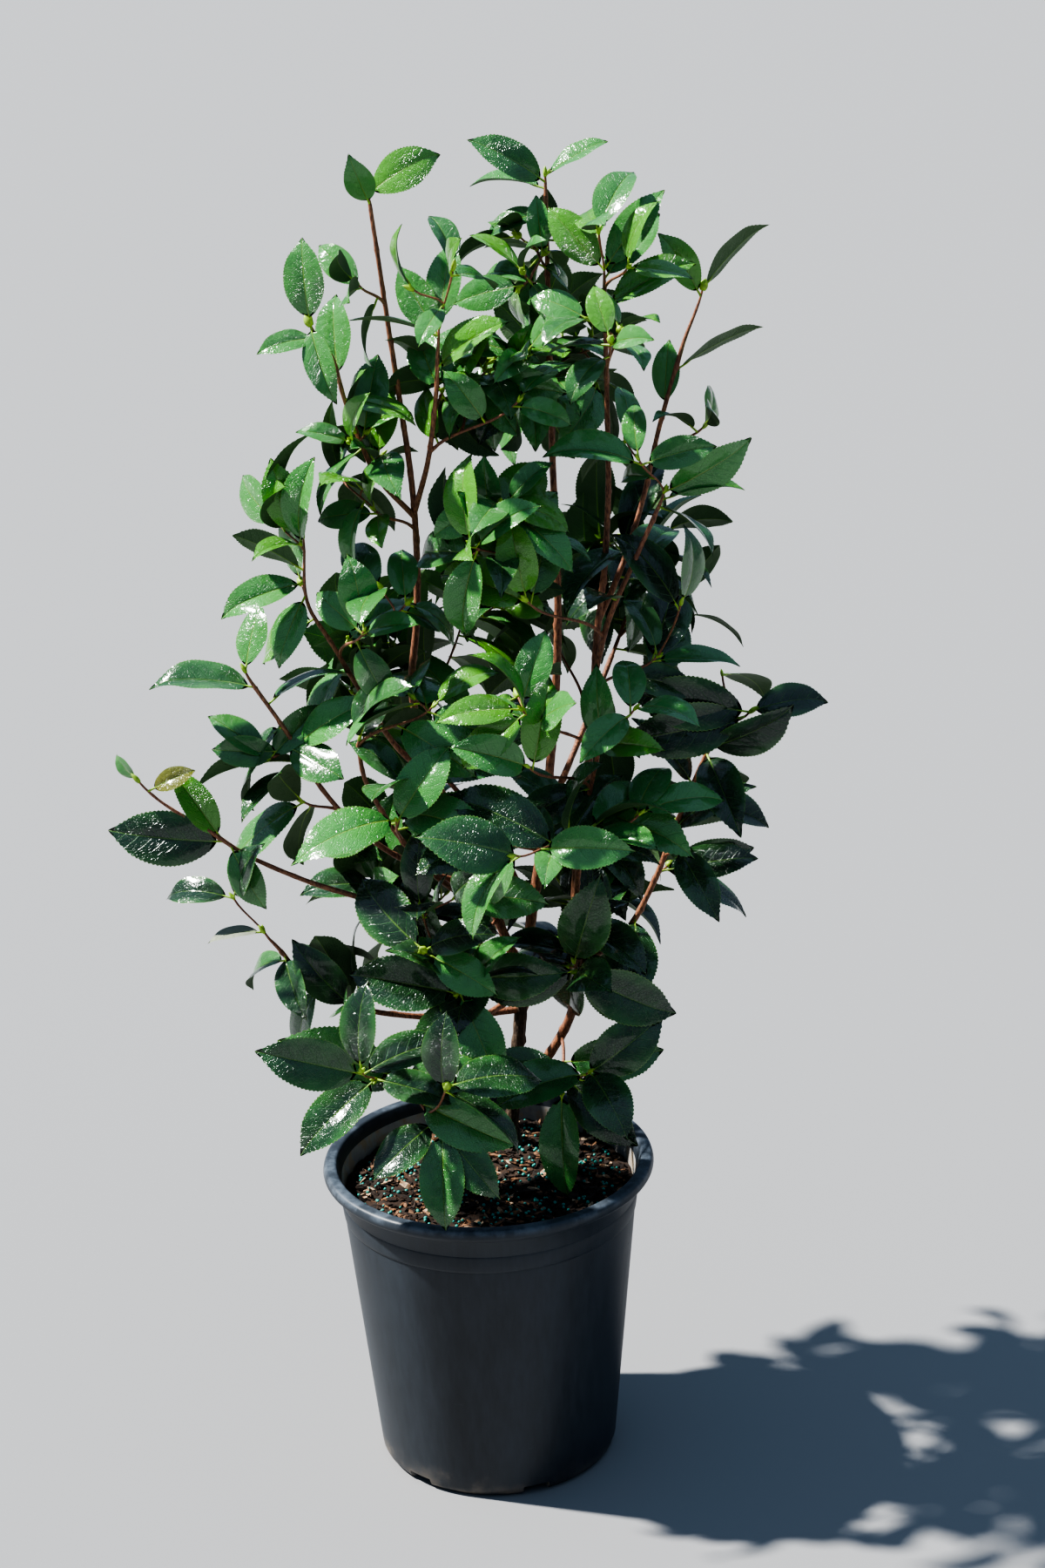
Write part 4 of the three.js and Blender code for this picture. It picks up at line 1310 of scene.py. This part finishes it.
def run_on(start, heading, mass):
    """Where a limb's end stops, so that its last leaves just reach the mass's far skin."""
    way = unit(heading + 0.2 * UP + 0.6 * unit(mass.middle - start))
    reaches = np.linspace(0.004, 3 * mass.half.max(), 60)
    inside = reaches[mass.depth(start + reaches[:, None] * way) < 1.0]
    out = inside[-1] if len(inside) else 0.0
    return start + way * max(SHORT_END, out - LEAF_BEYOND)


def grow_mass(mass, number, lines, end, wood, crowd, wood_s, leaf_s):
    """Grows one mass: its limb's end runs on as the first shoot, and side shoots fill the rest."""
    draw = np.random.default_rng(1000 * wood_s.seed + number)
    wanted = mass.wanted(leaf_s.room)
    leaves, shoots = [], []

    def sprout(start, heading, target, thick, perch=None):
        line = shoot_line(start, heading, target, wood_s, thick)
        wood.add(line)
        shoots.append(line)
        bearing = line if perch is None else np.concatenate([perch, line])
        run = np.linalg.norm(np.diff(bearing[:, :3], axis=0), axis=1)
        length = run[mass.depth(bearing[1:, :3]) < 1.15].sum()
        most = 2 + int(length / wood_s.internode)
        count = max(1, min(wanted - len(leaves), most, MOST_ON_SHOOT))
        if wanted - len(leaves) - count == 1:
            count += 1
        aims = () if len(shoots) > 1 else AIMS.get(mass.name, ())
        count = max(count, len(aims))
        leaves.extend(leaves_on(draw, bearing, count, mass, crowd, wood_s, leaf_s, aims=aims))

    limb, tip = SHOOT_TIPS.get(mass.name, (end, None))
    if limb:
        line = lines[limb]
        k = len(line) - 1
        if tip:
            k = max(4, int(np.argmin(np.linalg.norm(line[:, :3] - tip, axis=1))))
        start, perch = line[k, :3], line[max(0, k - END_PERCH):k] if k > len(line) - 4 else None
        heading = unit(start - line[k - 3, :3])
        if perch is None:
            heading = unit(heading + 2 * unit(np.array(tip) - start))
        thick = min(float(line[k, 3]), wood_s.twig_radius * 1.2)
        sprout(start, heading, run_on(start, heading, mass) if tip is None else np.array(tip), thick, perch)
    for name, line in lines.items():
        inside = line[mass.depth(line[:, :3]) < 1.0]
        if name != end and len(inside) > 10 and wanted - len(leaves) > 3:
            count = min(int(len(inside) * LIMB_STEP / (1.7 * wood_s.internode)), wanted // 3)
            leaves.extend(leaves_on(draw, inside, count, mass, crowd, wood_s, leaf_s, tip=False))
    while len(leaves) < wanted:
        target = pick_target(draw, mass, crowd)
        foot = wood.foot_for(target)
        way = unit(target - wood.places[foot])
        heading = unit(0.5 * wood.headings[foot] + way + 0.15 * UP)
        thick = min(wood_s.twig_radius, 0.85 * float(wood.radii[foot]))
        sprout(wood.places[foot], heading, target, thick)
    return leaves, shoots


GROWN = {}


def grown(context):
    """The whole plant's lines, shoots and leaves, grown once."""
    if not GROWN:
        scene = context.scene
        lines = limb_lines()
        wood, crowd = Wood(lines), Crowd()
        masses = [Mass(name) for name in sorted(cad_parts) if name.startswith("mass_")]
        masses.sort(key=lambda mass: -mass.middle[2])
        ends = {mass: name for name, (_, mass) in LIMBS.items()}
        leaves, shoots = [], []
        for number, mass in enumerate(masses):
            made = grow_mass(mass, number, lines, ends.get(mass.name), wood, crowd,
                             scene.camellia_wood, scene.camellia_leaf)
            leaves += made[0]
            shoots += made[1]
        GROWN.update(lines=lines, masses=masses, leaves=leaves, shoots=shoots)
    return SimpleNamespace(**GROWN)


# ---- twigs, petioles and buds ----


def bud(heap, foot, heading, length, width):
    """A pointed bud: a short tube that swells and closes to a tip."""
    along = np.linspace(0, 1, 7)
    line = foot + np.outer(along * length, heading)
    radii = width * np.sin(math.pi * np.clip(0.22 + 0.76 * along, 0, 1)) ** 0.9
    radii[-1] = width * 0.06
    heap.add(*tube(line, radii, 7))


BUD_SEED = 77
FLOWER_BUDS, SIDE_BUDS = 0.14, 0.55  # shares of the shoots with a round flower bud and with a second bud


class CAMELLIA_OT_twigs(Operator):
    """Grow the twigs on from the boughs, with petioles and buds"""

    bl_idname = "camellia.twigs"
    bl_label = "Twigs and buds"
    bl_options = {"REGISTER", "UNDO"}

    def execute(self, context):
        s = context.scene.camellia_wood
        plant = grown(context)
        draw = np.random.default_rng(BUD_SEED)
        twigs, stalks, buds = Heap(), Heap(), Heap()
        for shoot in plant.shoots:
            girth = float(shoot[:, 3].mean())
            knots = draw.uniform(0.018, 0.026)

            def relief(turn, run, knots=knots, girth=girth):
                ring = np.exp(-(((run + 0.004) % knots - knots / 2) / 0.0016) ** 2)
                return girth * ring * (0.22 + 0.12 * np.cos(turn + run * 110))

            twigs.add(*tube(shoot[:, :3], shoot[:, 3], 7, relief))
            heading = unit(shoot[-1, :3] - shoot[-3, :3])
            size = draw.uniform(0.0065, 0.0105)
            fullness = 0.38 if draw.uniform() < FLOWER_BUDS else 0.22
            bud(buds, shoot[-1, :3] - heading * 0.001, heading, size, size * fullness)
            if draw.uniform() < SIDE_BUDS:
                lean = unit(heading + 0.6 * unit(draw.normal(0, 1, 3)))
                bud(buds, shoot[-1, :3], lean, size * 0.8, size * 0.18)
        for leaf in plant.leaves:
            self.petiole(stalks, leaf)
        pieces = [
            (twigs, "twigs", bark_material("twig_bark", s.young_bark, s.young_furrow, 900.0, 0.5, 0.4),
             "bough_bark"),
            (stalks, "petioles", shoot_material("petiole_green", s.shoot_green, s.bud_green), "foliage"),
            (buds, "buds", shoot_material("bud_green", s.bud_green, s.shoot_green), "foliage"),
        ]
        for heap, name, material, slot_name in pieces:
            piece = heap.piece(name, [material])
            smooth(piece, 75)
            finish_piece(piece)
        return {"FINISHED"}

    def petiole(self, heap, leaf):
        """A short stalk that runs on under the foot of the blade as its raised midrib."""
        on_blade = midrib(leaf.base, leaf.direction, leaf.normal, leaf.length, leaf.arch, [0.0, 0.05, 0.12])
        on_blade -= leaf.normal * np.array([[0.0003], [0.0005], [0.0004]])
        line = np.concatenate([[leaf.foot, (leaf.foot + leaf.base) / 2], on_blade])
        heap.add(*tube(line, [0.00105, 0.0009, 0.0009, 0.0007, 0.0003], 6))


# ---- leaves ----

LEAF_ROWS = 13
CROWN_FOOT, WAIST_FOOT = 0.84, 0.56  # heights at which the storeys of leaves start
STEPS = 4  # places on the margin for each row: two teeth
INNER = [-0.56, -0.10, 0.0, 0.10, 0.56]  # inner columns, as shares of the half width


def half_width(along):
    """Half width of the blade as a share of its length: widest near the middle, with a drawn-out tip."""
    along = np.asarray(along, float)
    body = np.sin(math.pi * along**0.92) ** 0.78
    drawn = 1 - 0.34 * ease(0.76, 0.99, along)
    return 0.008 * (1 - along) + 0.0035 + 0.235 * body * drawn


def leaf_pattern(tooth):
    """The flat blade. Corners as rows of along, across, side and edge, then faces with 0 for the top sheet
    and 1 for the underside. Both sheets share the margin, the foot and the tip."""
    corners, index = [], {}

    def corner(key, along, across, side, edge):
        if key not in index:
            index[key] = len(corners)
            corners.append((along, across, side, edge))
        return index[key]

    rows = np.linspace(0, 1, LEAF_ROWS + 1)
    half = half_width(rows)

    def inner(sheet, i, c):
        closed = i in (0, LEAF_ROWS)
        side = 0.0 if closed else (1.0, -1.0)[sheet]
        return corner(("in", 0 if closed else sheet, i, c), rows[i], INNER[c] * half[i], side, abs(INNER[c]))

    def margin(hand, j):
        along = j / (LEAF_ROWS * STEPS)
        peak = j % 2 == 1 and 2 < j < LEAF_ROWS * STEPS - 3
        reach = half_width(along) + (tooth if peak else 0.0)
        return corner(("edge", hand, j), along + (0.004 if peak else 0.0), hand * reach, 0.0, 1.0)

    faces, sheets = [], []
    for sheet in (0, 1):
        for i in range(LEAF_ROWS):
            for c in range(len(INNER) - 1):
                a, b = inner(sheet, i, c), inner(sheet, i, c + 1)
                d, e = inner(sheet, i + 1, c), inner(sheet, i + 1, c + 1)
                faces += [(a, b, e), (a, e, d)]
            for hand, c in ((-1, 0), (1, len(INNER) - 1)):
                a, d = inner(sheet, i, c), inner(sheet, i + 1, c)
                m = [margin(hand, i * STEPS + k) for k in range(STEPS + 1)]
                fan = [(a, m[1], m[0]), (a, m[2], m[1]), (a, d, m[2]), (d, m[3], m[2]), (d, m[4], m[3])]
                faces += fan if hand < 0 else [face[::-1] for face in fan]
        sheets += [sheet] * (len(faces) - len(sheets))
    faces = [face if sheet == 0 else face[::-1] for face, sheet in zip(faces, sheets)]
    return np.array(corners), np.array(faces), np.array(sheets)


def blade_points(leaf, corners, s):
    """Bends the flat blade: fold, arch, hooked tip, wavy margin and twist, with the sheets' thickness."""
    along, across, side, edge = corners.T
    across = across * leaf.width * s.width / 0.47
    bend = leaf.arch * along
    hook = leaf.hook * 1.5 * np.maximum(0, along - 0.70) ** 2
    line = midrib(leaf.base, leaf.direction, leaf.normal, leaf.length, leaf.arch, along)
    line = line - np.outer(hook * leaf.length, leaf.normal)
    facing = leaf.normal * np.cos(bend)[:, None] + leaf.direction * np.sin(bend)[:, None]
    wide = np.cross(leaf.direction, leaf.normal)
    turn = leaf.twist * along
    aside = wide * np.cos(turn)[:, None] - facing * np.sin(turn)[:, None]
    facing = facing * np.cos(turn)[:, None] + wide * np.sin(turn)[:, None]
    away = np.abs(across)
    fold = leaf.fold * (0.35 + 0.65 * np.sin(math.pi * np.clip(along, 0, 1)) ** 0.5)
    lift = away * np.sin(fold) - 0.75 * away**2
    lift += 0.010 * leaf.wave * edge**2 * np.sin(along * 13 + leaf.phase + np.sign(across) * 0.9)
    lift += side * (1 - edge**2) * 0.5 * s.thickness / leaf.length
    lift -= (edge == 0) * 0.0035 * np.sin(math.pi * along) ** 0.5
    points = line + aside * (across * np.cos(fold) * leaf.length)[:, None]
    return points + facing * (lift * leaf.length)[:, None]


def tile_corners(corners, tile):
    """Places of the flat blade's corners on the leaf map."""
    column, row = tile % TILES, tile // TILES
    u = (column + 0.5 + corners[:, 1] / TILE_WIDTH) / TILES
    v = (row + TILE_FOOT + TILE_SPAN * corners[:, 0]) / TILES
    return np.stack([u, v], 1)


def region_of(leaf, masses):
    """The piece that a leaf joins: three storeys of the front, and the back."""
    if "back" in leaf.mass:
        return "leaves_back"
    height = masses[leaf.mass].middle[2]
    if height > CROWN_FOOT:
        return "leaves_crown"
    return "leaves_waist" if height > WAIST_FOOT else "leaves_foot"


# Materials of the upper side and the underside of the leaves on a tile.
TILE_MATERIALS = {YOUNG: (2, 1), YELLOWED: (3, 1), DRIED: (4, 4)}


class CAMELLIA_OT_leaves(Operator):
    """Unfold every leaf on its petiole, and join them by storey"""

    bl_idname = "camellia.leaves"
    bl_label = "Leaves"
    bl_options = {"REGISTER", "UNDO"}

    def execute(self, context):
        s = context.scene.camellia_leaf
        plant = grown(context)
        masses = {mass.name: mass for mass in plant.masses}
        corners, faces, sheets = leaf_pattern(s.tooth)
        materials = [
            leaf_material("leaf_top", s.fresh, s.deep, s),
            leaf_material("leaf_underside", s.beneath, scaled(s.beneath, 0.6), s, tops=False),
            leaf_material("leaf_young", s.young, s.fresh, s),
            leaf_material("leaf_yellowed", s.yellowed, scaled(s.yellowed, 0.5), s),
            leaf_material("leaf_dried", s.dried, scaled(s.dried, 0.6), s, tops=False),
        ]
        regions = {}
        for leaf in plant.leaves:
            regions.setdefault(region_of(leaf, masses), []).append(leaf)
        for name, leaves in sorted(regions.items()):
            points, triangles, places, worn, edges = [], [], [], [], []
            for i, leaf in enumerate(leaves):
                points.append(blade_points(leaf, corners, s))
                triangles.append(faces + i * len(corners))
                top = tile_corners(corners, leaf.tile)
                under = tile_corners(corners, FIRST_UNDERSIDE + leaf.tile % UNDERSIDES)
                places.append(np.where((sheets == 0)[:, None, None], top[faces], under[faces]).reshape(-1, 2))
                worn.append(np.where(sheets == 0, *TILE_MATERIALS.get(leaf.tile, (0, 1))))
                edges.append(corners[:, 3])
            piece = mesh_piece(name, np.concatenate(points), np.concatenate(triangles).tolist(), materials,
                               np.concatenate(worn))
            layer = piece.data.uv_layers.new(name="OFBake")
            layer.uv.foreach_set("vector", np.concatenate(places).ravel().astype(np.float32))
            margin = piece.data.attributes.new("margin", "FLOAT", "POINT")
            margin.data.foreach_set("value", np.concatenate(edges).astype(np.float32))
            smooth(piece, 60)
            replaced = [n for n, mass in masses.items() if region_of(SimpleNamespace(mass=n), masses) == name]
            finish_piece(piece, replaced)
        return {"FINISHED"}


# ---- stage ----


class CAMELLIA_OT_stage(Operator):
    """Lay the floor, hang the lamps and set up the camera"""

    bl_idname = "camellia.stage"
    bl_label = "Stage"
    bl_options = {"REGISTER", "UNDO"}

    def execute(self, context):
        s = context.scene.camellia_stage
        deselect_all()
        bpy.ops.mesh.primitive_plane_add(size=90)
        floor = context.object
        floor.name = floor.data.name = "floor"
        floor.data.materials.append(floor_material(s))
        self.fill(context, s)
        self.key(s)
        self.camera(context, s)
        return {"FINISHED"}

    def fill(self, context, s):
        """Light from all round that is stronger from above."""
        world = bpy.data.worlds.new("studio")
        world.use_nodes = True
        tree = world.node_tree
        background = tree.nodes["Background"]
        feed(tree, background, {"Color": s.sky})
        ray = wire(tree, "SeparateXYZ", {"Vector": wire(tree, "TexCoord").outputs["Generated"]})
        fill = ramp(tree, ray.outputs["Z"], -0.1, 0.8, 0.25 * s.sky_strength, s.sky_strength)
        tree.links.new(fill, background.inputs["Strength"])
        self.backdrop(tree, background, s)
        context.scene.world = world
        context.scene.view_settings.look = "AgX - High Contrast"

    def backdrop(self, tree, background, s):
        """The floor seems to run on for ever."""
        far = wire(tree, "Background", {"Color": s.backdrop, "Strength": 1.0})
        path = wire(tree, "LightPath")
        both = wire(tree, "MixShader", {0: path.outputs["Is Camera Ray"], 1: background.outputs[0],
                                        2: far.outputs[0]})
        tree.links.new(both.outputs[0], tree.nodes["World Output"].inputs["Surface"])

    def key(self, s):
        """A far lamp high at the left, a little behind the plant."""
        turns = Vector(-LIGHT_FROM).to_track_quat("-Z", "Y").to_euler()
        bpy.ops.object.light_add(type="SUN", location=3 * LIGHT_FROM, rotation=turns)
        lamp = bpy.context.object.data
        lamp.energy, lamp.angle, lamp.color = s.key_strength, s.key_spread, (1.0, 0.98, 0.95)

    def camera(self, context, s):
        """The eye stands in front, and turns, looks down and leans a little."""
        bpy.ops.object.camera_add(location=(0, -s.eye_distance, s.eye_height))
        camera = context.object
        camera.data.sensor_fit, camera.data.sensor_width, camera.data.lens = "AUTO", 36.0, s.lens
        level = Matrix.Rotation(-s.eye_turn, 4, "Z") @ Matrix.Rotation(math.pi / 2 - s.eye_pitch, 4, "X")
        turned = level @ Matrix.Rotation(s.eye_roll, 4, "Z")
        camera.matrix_world = Matrix.Translation(camera.location) @ turned
        context.scene.camera = camera


# ---- panel and registration ----


class CAMELLIA_PT_build(Panel):
    """Lists the steps that build the plant"""

    bl_label = "Camellia"
    bl_idname = "CAMELLIA_PT_build"
    bl_space_type = "VIEW_3D"
    bl_region_type = "UI"
    bl_category = "Camellia"

    def draw(self, context):
        for group in ("pot", "mix", "wood", "leaf", "stage"):
            settings = getattr(context.scene, "camellia_" + group)
            box = self.layout.box()
            for name in settings.bl_rna.properties.keys():
                if name not in ("rna_type", "name"):
                    box.prop(settings, name)
        for step in STEPS_IN_ORDER:
            self.layout.operator(step.bl_idname)


STEPS_IN_ORDER = (CAMELLIA_OT_pot, CAMELLIA_OT_potting_mix, CAMELLIA_OT_limbs, CAMELLIA_OT_twigs,
                  CAMELLIA_OT_leaves, CAMELLIA_OT_stage)
SETTINGS = {"camellia_pot": CamelliaPotSettings, "camellia_mix": CamelliaMixSettings,
            "camellia_wood": CamelliaWoodSettings, "camellia_leaf": CamelliaLeafSettings,
            "camellia_stage": CamelliaStageSettings}


def register():
    for group in (*SETTINGS.values(), *STEPS_IN_ORDER, CAMELLIA_PT_build):
        bpy.utils.register_class(group)
    for name, group in SETTINGS.items():
        setattr(bpy.types.Scene, name, PointerProperty(type=group))


def unregister():
    for name in SETTINGS:
        delattr(bpy.types.Scene, name)
    for group in (CAMELLIA_PT_build, *reversed(STEPS_IN_ORDER), *SETTINGS.values()):
        bpy.utils.unregister_class(group)


def main():
    register()
    for step in STEPS_IN_ORDER:
        family, name = step.bl_idname.split(".")
        getattr(getattr(bpy.ops, family), name)()


if __name__ == "__main__":
    main()
